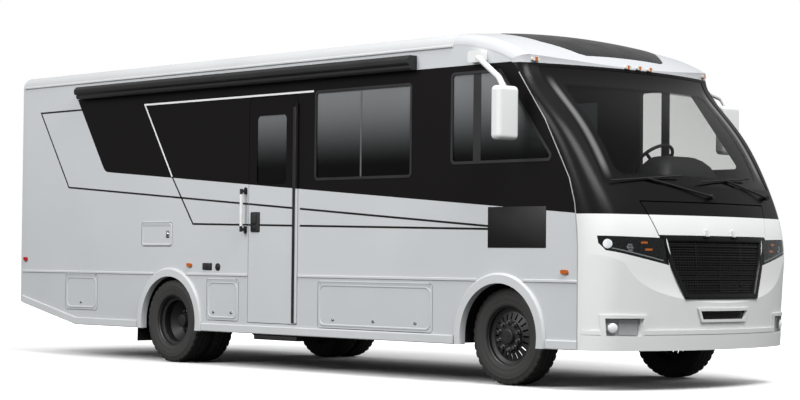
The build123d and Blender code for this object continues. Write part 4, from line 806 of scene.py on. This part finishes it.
for hand, side in SIDES:
    cover = []
    for column in range(COVER_COLUMNS):
        y = COVER_INNER + column * (COVER_OUTER - COVER_INNER) / (COVER_COLUMNS - 1)
        foot, top = read_table(LAMP_FOOT, y), read_table(LAMP_TOP, y)
        heights = [foot + (top - foot) * row / (COVER_ROWS - 1) for row in range(COVER_ROWS)]
        front = [on_lamp(hand * y, z)[0] + COVER_OUT for z in heights]
        cover.append(front + [point + COVER_SHEET for point in reversed(front)])
    add_piece(f"headlamp_cover_{side}", stacked(cover), clear_cover)
    round_lamp = turned(ROUND_LAMP, *on_lamp(hand * 1.142, 1.174))
    add_piece(f"round_lamp_{side}", round_lamp, lit_lens)
    cells = []
    for ring, count in CELL_RINGS:
        for k in range(count):
            turn = 2 * math.pi * k / count
            seat = on_lamp(hand * (CELL_Y + ring * math.cos(turn)), CELL_Z + CELL_STRETCH * ring * math.sin(turn))
            cells.append(turned(CELL, *seat, 6))
    add_piece(f"projector_cells_{side}", joined(cells), bright_reflector)
    slots = [lamp_bar([(hand * (y + k * half), z) for k in (-1, 0, 1)], (hand * y, z), 0.009, 0.008, 0.005)
             for y, z, half in TURN_SLOTS]
    add_piece(f"turn_slots_{side}", joined(slots), amber_lens)
    line = [(hand * y, read_table(LAMP_FOOT, y) + LAMP_STRIP_RISE) for y in LAMP_STRIP_Y]
    strip = lamp_bar(line, (hand * 0.85, 1.1), 0.0045, 0.004, 0.004)
    add_piece(f"lamp_strip_{side}", strip, bright_reflector)
    fog = turned(FOG_LENS, *on_lamp(hand * 1.09, 0.508))
    add_piece(f"fog_lens_{side}", fog, lit_lens)
    panel = [(hand * y, POD_PANEL_Z) for y in POD_PANEL_Y]
    inner = lamp_bar(panel, panel[2], 0.062, 0.058, 0.005)
    add_piece(f"fog_pod_panel_{side}", inner, satin_silver)
print("headlamps dressed")

# %% [markdown]
# ## Tyres and wheels
# A coach tyre has a flat crown with three grooves round it, cross grooves that cut the shoulders into blocks, and
# fine rings on its sidewalls. One closed section is turned about the axle, and the shoulder points of every fourth
# step sink to make the cross grooves. The turned tyres stand for the plain CAD ones.

# %% Tyres
TYRE_RADIUS, TYRE_STEPS, GROOVE_EVERY, GROOVE_DEPTH, GROOVE_PINCH = 0.406, 144, 4, 0.009, 0.985
SIDEWALL = [(0.090, 0.249), (0.097, 0.252), (0.101, 0.262), (0.104, 0.272), (0.1055, 0.276), (0.1045, 0.280),
            (0.110, 0.298), (0.1125, 0.316), (0.113, 0.330), (0.1115, 0.346), (0.1125, 0.350), (0.1095, 0.354),
            (0.106, 0.370), (0.1035, 0.384), (0.100, 0.394)]
CROWN = [(0.095, 0.401), (0.080, 0.4045), (0.053, 0.4055), (0.051, 0.397), (0.043, 0.397), (0.041, 0.4058),
         (0.005, 0.406), (0.003, 0.3975)]
BLOCK_ROWS = range(len(SIDEWALL) - 2, len(SIDEWALL) + 3)
half_section = list(enumerate(SIDEWALL + CROWN))
tyre_section = [(a, r, i) for i, (a, r) in half_section] + [(-a, r, i) for i, (a, r) in reversed(half_section)]
AXLES = [
    # end, x, middles of the tyres across, ending of the names
    ("front", 2.950, (1.037,), ""),
    ("rear", -1.580, (1.102, 0.846), "s"),
]


def round_axle(axle_x, radius, turn, y):
    """Place at a radius and a turn about an axle."""
    return Vector((axle_x + radius * math.cos(turn), y, TYRE_RADIUS + radius * math.sin(turn)))


def tyre_shape(axle_x, middle_y):
    """A tyre turned about the axle line, with its cross grooves at both shoulders."""
    loops = []
    for step in range(TYRE_STEPS):
        turn, loop = 2 * math.pi * step / TYRE_STEPS, []
        for across, radius, row in tyre_section:
            if step % GROOVE_EVERY == 0 and row in BLOCK_ROWS:
                radius -= GROOVE_DEPTH
                across *= GROOVE_PINCH
            loop.append(round_axle(axle_x, radius, turn, middle_y + across))
        loops.append(loop)
    return stacked(loops, closed=True)


for end, axle_x, middles, plural in AXLES:
    for hand, side in SIDES:
        node = f"tyre{plural}_{end}_{side}"
        tyres = joined([tyre_shape(axle_x, hand * y) for y in middles])
        treaded = add_piece(node + "_treaded", tyres, tyre_rubber, f"{end}_wheel{plural}_{side}", 50)
        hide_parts(node)
print("tyres turned:", len(SIDES) * sum(len(row[2]) for row in AXLES))

# %% [markdown]
# The wheels carry ten flanged nuts on a circle and a hub cap. Rays cast from outside find the face that each nut
# sits on, so the nuts stand on the convex front wheels and deep in the dish of the rear ones.

# %% Wheel nuts
nut_steel = make_finish("steel_zinc_plated_dull", "#5A5A5B", "#707071", (0.35, 0.5), 8, 1, 0.05, metallic=0.9)
NUT_CIRCLE, NUT_COUNT, RAY_START = 0.1125, 10, 2
NUT = [(0.021, -0.002), (0.021, 0.004), (0.0165, 0.006), (0.0165, 0.024), (0.013, 0.028), (0.003, 0.029)]
HUB_CAP = [(0.062, -0.003), (0.062, 0.004), (0.054, 0.007), (0.050, 0.0075), (0.030, 0.009), (0.006, 0.009)]
for end, axle_x, _, plural in AXLES:
    for hand, side in SIDES:
        node, body = f"wheel{plural}_{end}_{side}", f"{end}_wheel{plural}_{side}"
        face, outward, nuts = skin_of(node), Vector((0, hand, 0)), []
        for k in range(NUT_COUNT):
            turn = 2 * math.pi * (k + 0.5) / NUT_COUNT
            seat = face.ray_cast(round_axle(axle_x, NUT_CIRCLE, turn, hand * RAY_START), -outward)[0]
            nuts.append(turned(NUT, seat, outward, 6))
        add_piece(node + "_nuts", joined(nuts), nut_steel, body, 25)
        centre = face.ray_cast(Vector((axle_x, hand * RAY_START, TYRE_RADIUS)), -outward)[0]
        add_piece(node + "_hub_cap", turned(HUB_CAP, centre, outward, 32), wheel_paint, body)
print("wheel nuts:", NUT_COUNT * len(SIDES) * len(AXLES))

# %% [markdown]
# ## Wheel housings
# Black moulded tubs close the wheel arches from inside, so little daylight shows between a tyre and the arch. Each
# is a half-round shell with a splash plate behind the wheel, 5 mm thick.

# %% Wheel housings
TUB_RADIUS, TUB_MOUTH, TUB_BACK, TUB_SHEET, TUB_BEND, TUB_HUB = 0.530, 1.190, 0.520, 0.005, 0.03, 0.02
TUB_ARC = [math.radians(-8 + 196 * k / 40) for k in range(41)]
TUB_SECTION = [
    # radius, place across: the outer skin from the mouth to the plate, then back inside it
    (TUB_RADIUS, TUB_MOUTH), (TUB_RADIUS, TUB_BACK + TUB_BEND), (TUB_RADIUS - TUB_BEND, TUB_BACK),
    (TUB_HUB, TUB_BACK), (TUB_HUB, TUB_BACK + TUB_SHEET), (TUB_RADIUS - TUB_BEND - TUB_SHEET, TUB_BACK + TUB_SHEET),
    (TUB_RADIUS - TUB_SHEET, TUB_BACK + TUB_BEND + TUB_SHEET), (TUB_RADIUS - TUB_SHEET, TUB_MOUTH),
]
for end, axle_x, _, _ in AXLES:
    for hand, side in SIDES:
        tub = stacked([[round_axle(axle_x, radius, turn, hand * out) for radius, out in TUB_SECTION]
                       for turn in TUB_ARC])
        add_piece(f"wheel_housing_{end}_{side}", tub, plain["baggage_liner_pe_black"])
print("wheel housings made")

# %% [markdown]
# ## Grab handle
# The bar beside the door is white tube between two black brackets, so one mask by height paints the CAD handle.

# %% Grab handle
BAR_MIDDLE_Z, BAR_HALF = 1.483, 0.150


def bracket_mask(x, y, z):
    """1 on the brackets at both ends of the handle."""
    return reckon("SUBTRACT", 1, reckon("COMPARE", z, BAR_MIDDLE_Z, BAR_HALF))


make_finish("acrylic_bar_white_black_brackets", "#DADBDB", "#E6E7E7", (0.2, 0.3), 60, 3, 0.02,
            [(bracket_mask, "#121213", 0.45)], worn_by=["grab_handle"])
print("handle painted")

# %% [markdown]
# ## Cab seats
# Each seat is a cushion, a back and a headrest in woven cloth on a steel pedestal. The pads are blown up by a short
# cloth simulation, each held within a small swell, and then drawn in along their sewn channels. One seat is
# simulated and used on both sides.

# %% Seat pads
VOXEL, PRESSURE, FRAMES = 0.012, 4, 20
CHANNEL_DEPTH, CHANNEL_WIDTH, DEEPEST = 0.012, 0.014, 0.014


def stuffed(name, shape, swell, channels):
    """The shape remeshed, blown up by cloth pressure within the swell, then drawn in at each (axis, place)."""
    scene, pad = bpy.context.scene, new_object(name, shape)
    voxels = pad.modifiers.new("voxels", "REMESH")
    voxels.mode, voxels.voxel_size = "VOXEL", VOXEL
    fine = bpy.data.meshes.new_from_object(pad.evaluated_get(bpy.context.evaluated_depsgraph_get()))
    pad.modifiers.clear()
    pad.data = fine
    rest = [v.co.copy() for v in fine.vertices]
    cloth = pad.modifiers.new("cloth", "CLOTH").settings
    cloth.use_pressure, cloth.uniform_pressure_force = True, PRESSURE
    cloth.effector_weights.gravity = 0
    for frame_number in range(1, FRAMES + 1):
        scene.frame_set(frame_number)
    blown = pad.evaluated_get(bpy.context.evaluated_depsgraph_get()).data
    for vertex, after, before in zip(fine.vertices, blown.vertices, rest):
        move = after.co - before
        vertex.co = before + move * min(1, swell / max(move.length, 1e-6))
    fine.update()
    drawn_in = []
    for vertex in fine.vertices:
        depth = sum(CHANNEL_DEPTH * math.exp(-((vertex.co[axis] - place) / CHANNEL_WIDTH) ** 2)
                    for axis, place in channels)
        drawn_in.append(vertex.co - vertex.normal * min(depth, DEEPEST))
    faces = [tuple(face.vertices) for face in fine.polygons]
    bpy.data.objects.remove(pad)
    scene.frame_set(1)
    return drawn_in, faces


SEAT_X, SEAT_Y, SEAT_FLOOR = 2.430, 0.560, 0.960
cushion = stuffed("cushion_form", block([
    (SEAT_X, 0, 1.296, 0.40, 0.42, 0.05), (SEAT_X, 0, 1.306, 0.45, 0.47, 0.07),
    (SEAT_X, 0, 1.350, 0.475, 0.495, 0.08), (SEAT_X, 0, 1.390, 0.46, 0.48, 0.08),
    (SEAT_X, 0, 1.402, 0.40, 0.42, 0.07)]), 0.012, [(1, -0.15), (1, 0.15), (0, SEAT_X + 0.16)])
back_rest = stuffed("back_form", block([
    (2.200, 0, 1.410, 0.10, 0.40, 0.04), (2.199, 0, 1.430, 0.150, 0.465, 0.06),
    (2.186, 0, 1.600, 0.135, 0.475, 0.06), (2.172, 0, 1.780, 0.112, 0.460, 0.05),
    (2.165, 0, 1.880, 0.096, 0.430, 0.04), (2.164, 0, 1.900, 0.055, 0.38, 0.025)]),
    0.010, [(1, -0.14), (1, 0.14), (2, 1.62)])
head_rest = stuffed("headrest_form", block([
    (2.155, 0, 1.948, 0.045, 0.20, 0.02), (2.155, 0, 1.960, 0.072, 0.255, 0.03),
    (2.152, 0, 2.040, 0.066, 0.255, 0.03), (2.151, 0, 2.062, 0.040, 0.20, 0.015)]), 0.006, [(1, 0.0)])
print("pads stuffed:", len(cushion[0]), len(back_rest[0]), len(head_rest[0]), "points")

# %% Seats
seat_cloth = make_finish("seat_cloth_woven_taupe", "#4A443C", "#5A5349", (0.75, 0.9), 40, 3, 0.4)
RAIL_OUT, POST_OUT = 0.13, 0.06
for hand, side in SIDES:
    y = hand * SEAT_Y
    for part_name, (points, faces) in (("cushion", cushion), ("back", back_rest), ("headrest", head_rest)):
        pad = [v + Vector((0, y, 0)) for v in points], faces
        pad_piece = add_piece(f"seat_{part_name}_{side}", pad, seat_cloth, sharp=80)
        pad_piece.modifiers.new("smooth", "SUBSURF").levels = 1
        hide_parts("cab_seats")
    rails = [block([(SEAT_X, y + k * RAIL_OUT, z, 0.40, 0.05, 0.01) for z in (1.250, 1.284)]) for k in (-1, 1)]
    pedestal = joined([
        block([(SEAT_X, y, SEAT_FLOOR, 0.36, 0.36, 0.04), (SEAT_X, y, SEAT_FLOOR + 0.02, 0.36, 0.36, 0.04),
               (SEAT_X, y, SEAT_FLOOR + 0.03, 0.30, 0.30, 0.04), (SEAT_X, y, 1.250, 0.28, 0.28, 0.04)]),
        *rails, block([(SEAT_X, y, z, 0.42, 0.44, 0.05) for z in (1.282, 1.302)])])
    stand = add_piece(f"seat_pedestal_{side}", pedestal, powder_black)
    posts = joined([turned([(0.006, 0), (0.006, 0.075)], Vector((2.157, y + k * POST_OUT, 1.885)),
                           Vector((0, 0, 1)), 12) for k in (-1, 1)])
    add_piece(f"headrest_posts_{side}", posts, chrome)
    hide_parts("cab_seats")
print("seats padded")

# %% [markdown]
# ## Instrument hump and mirror glass
# A moulded hump over the instruments hides the lower half of the steering wheel from ahead. The mirror heads carry a
# flat glass on the side that faces the rear.

# %% Hump and mirror glass
hump = block([(3.46, 0.42, 1.665, 0.40, 0.78, 0.10), (3.46, 0.42, 1.780, 0.38, 0.74, 0.10),
              (3.45, 0.42, 1.860, 0.33, 0.66, 0.10), (3.44, 0.42, 1.912, 0.26, 0.54, 0.10),
              (3.43, 0.42, 1.938, 0.17, 0.42, 0.07), (3.43, 0.42, 1.944, 0.10, 0.32, 0.04)])
add_piece("instrument_hump", hump, plain["dashboard_pvc_grained_black"], sharp=60)
mirror_silver = make_finish("silvered_mirror_glass", "#B9BCBE", "#C6C9CB", (0.01, 0.03), 90, 20, 0.0, metallic=1.0)
MIRROR_X, MIRROR_Y, MIRROR_Z = 3.145, 1.450, 2.230
MIRROR_WIDTH, MIRROR_HEIGHT, MIRROR_CORNER = 0.164, 0.364, 0.025
for hand, side in SIDES:
    loops = []
    for inset, out in ((0, -0.002), (0, 0.002), (0.002, 0.003)):
        loop = rounded_loop(hand * MIRROR_Y, MIRROR_Z, MIRROR_WIDTH - 2 * inset, MIRROR_HEIGHT - 2 * inset,
                            MIRROR_CORNER)
        loops.append([Vector((MIRROR_X - out, u, w)) for u, w in loop])
    add_piece(f"mirror_glass_{side}", stacked(loops), mirror_silver)
print("hump and mirror glass made")

# %% [markdown]
# ## Studio
# The floor is bright paper to the camera and a grey card to all other rays, as in a product picture whose background
# was cleaned to white, and the paper glows more away from the vehicle. Wide soft lights stand ahead and on the entry
# side, with weaker ones behind, on the far side and overhead. Those behind and on the far side don't show in glossy
# parts, where they would mirror as bright patches.

# %% Floor and surround
GLOW_OVAL, GLOW_START, GLOW_END, GLOW_FULL = (0.17, 0.30, 0), 0.55, 1.7, 0.75
BACKDROP, FILL = 1.0, 0.40
bpy.ops.mesh.primitive_plane_add(size=400)
floor = bpy.context.object
floor.name = "studio_floor"
floor_paper, tree, output = new_material("studio_floor_paper")
place = add_node(tree, "ShaderNodeTexCoord").outputs["Object"]
oval = add_node(tree, "ShaderNodeVectorMath", {0: place, 1: GLOW_OVAL}, operation="MULTIPLY").outputs[0]
away = add_node(tree, "ShaderNodeVectorMath", {0: oval}, operation="LENGTH").outputs["Value"]
paper = add_node(tree, "ShaderNodeBsdfPrincipled", {
    "Base Color": linear("#F6F6F6"), "Roughness": 0.9, "Emission Color": linear("#FFFFFF"),
    "Emission Strength": ramp(away, GLOW_START, GLOW_END, 0, GLOW_FULL)})
grey_card = add_node(tree, "ShaderNodeBsdfDiffuse", {"Color": linear("#5E5E5E")})
seen = add_node(tree, "ShaderNodeLightPath").outputs["Is Camera Ray"]
tree.links.new(layered(seen, grey_card.outputs[0], paper.outputs[0]), output.inputs["Surface"])
floor.data.materials.append(floor_paper)
world = bpy.data.worlds.new("studio_surround")
world.use_nodes = True
sky = world.node_tree
sky.nodes.clear()
backdrop = add_node(sky, "ShaderNodeBackground", {"Color": linear("#FFFFFF"), "Strength": BACKDROP})
fill_light = add_node(sky, "ShaderNodeBackground", {"Color": linear("#FFFFFF"), "Strength": FILL})
seen = add_node(sky, "ShaderNodeLightPath").outputs["Is Camera Ray"]
either = layered(seen, fill_light.outputs[0], backdrop.outputs[0])
add_node(sky, "ShaderNodeOutputWorld", {"Surface": either})
bpy.context.scene.world = world
bpy.context.scene.view_settings.view_transform = "Standard"
print("floor and surround ready")

# %% Lights
softboxes = [
    # name, place, aim, size, watts, shows in glossy parts
    ("front_softbox", (11, -3, 12), (3, 0, 1.2), 7, 2100, True),
    ("side_softbox", (-1, -14, 10), (0, 0, 1.2), 9, 2050, True),
    ("left_softbox", (4, 14, 8), (0, 0, 1.2), 8, 800, False),
    ("rear_softbox", (-15, 2, 8), (-4, 0, 1.2), 6, 500, False),
    ("top_softbox", (0, 0, 13), (0, 0, 2), 9, 250, True),
]
for name, place, aim, size, watts, mirrored in softboxes:
    lamp = bpy.data.lights.new(name, "AREA")
    lamp.energy, lamp.size = watts, size
    holder = bpy.data.objects.new(name, lamp)
    bpy.context.scene.collection.objects.link(holder)
    holder.location = place
    holder.visible_glossy = mirrored
    holder.rotation_euler = (Vector(aim) - Vector(place)).to_track_quat("-Z", "Y").to_euler()
print("lights:", len(softboxes))
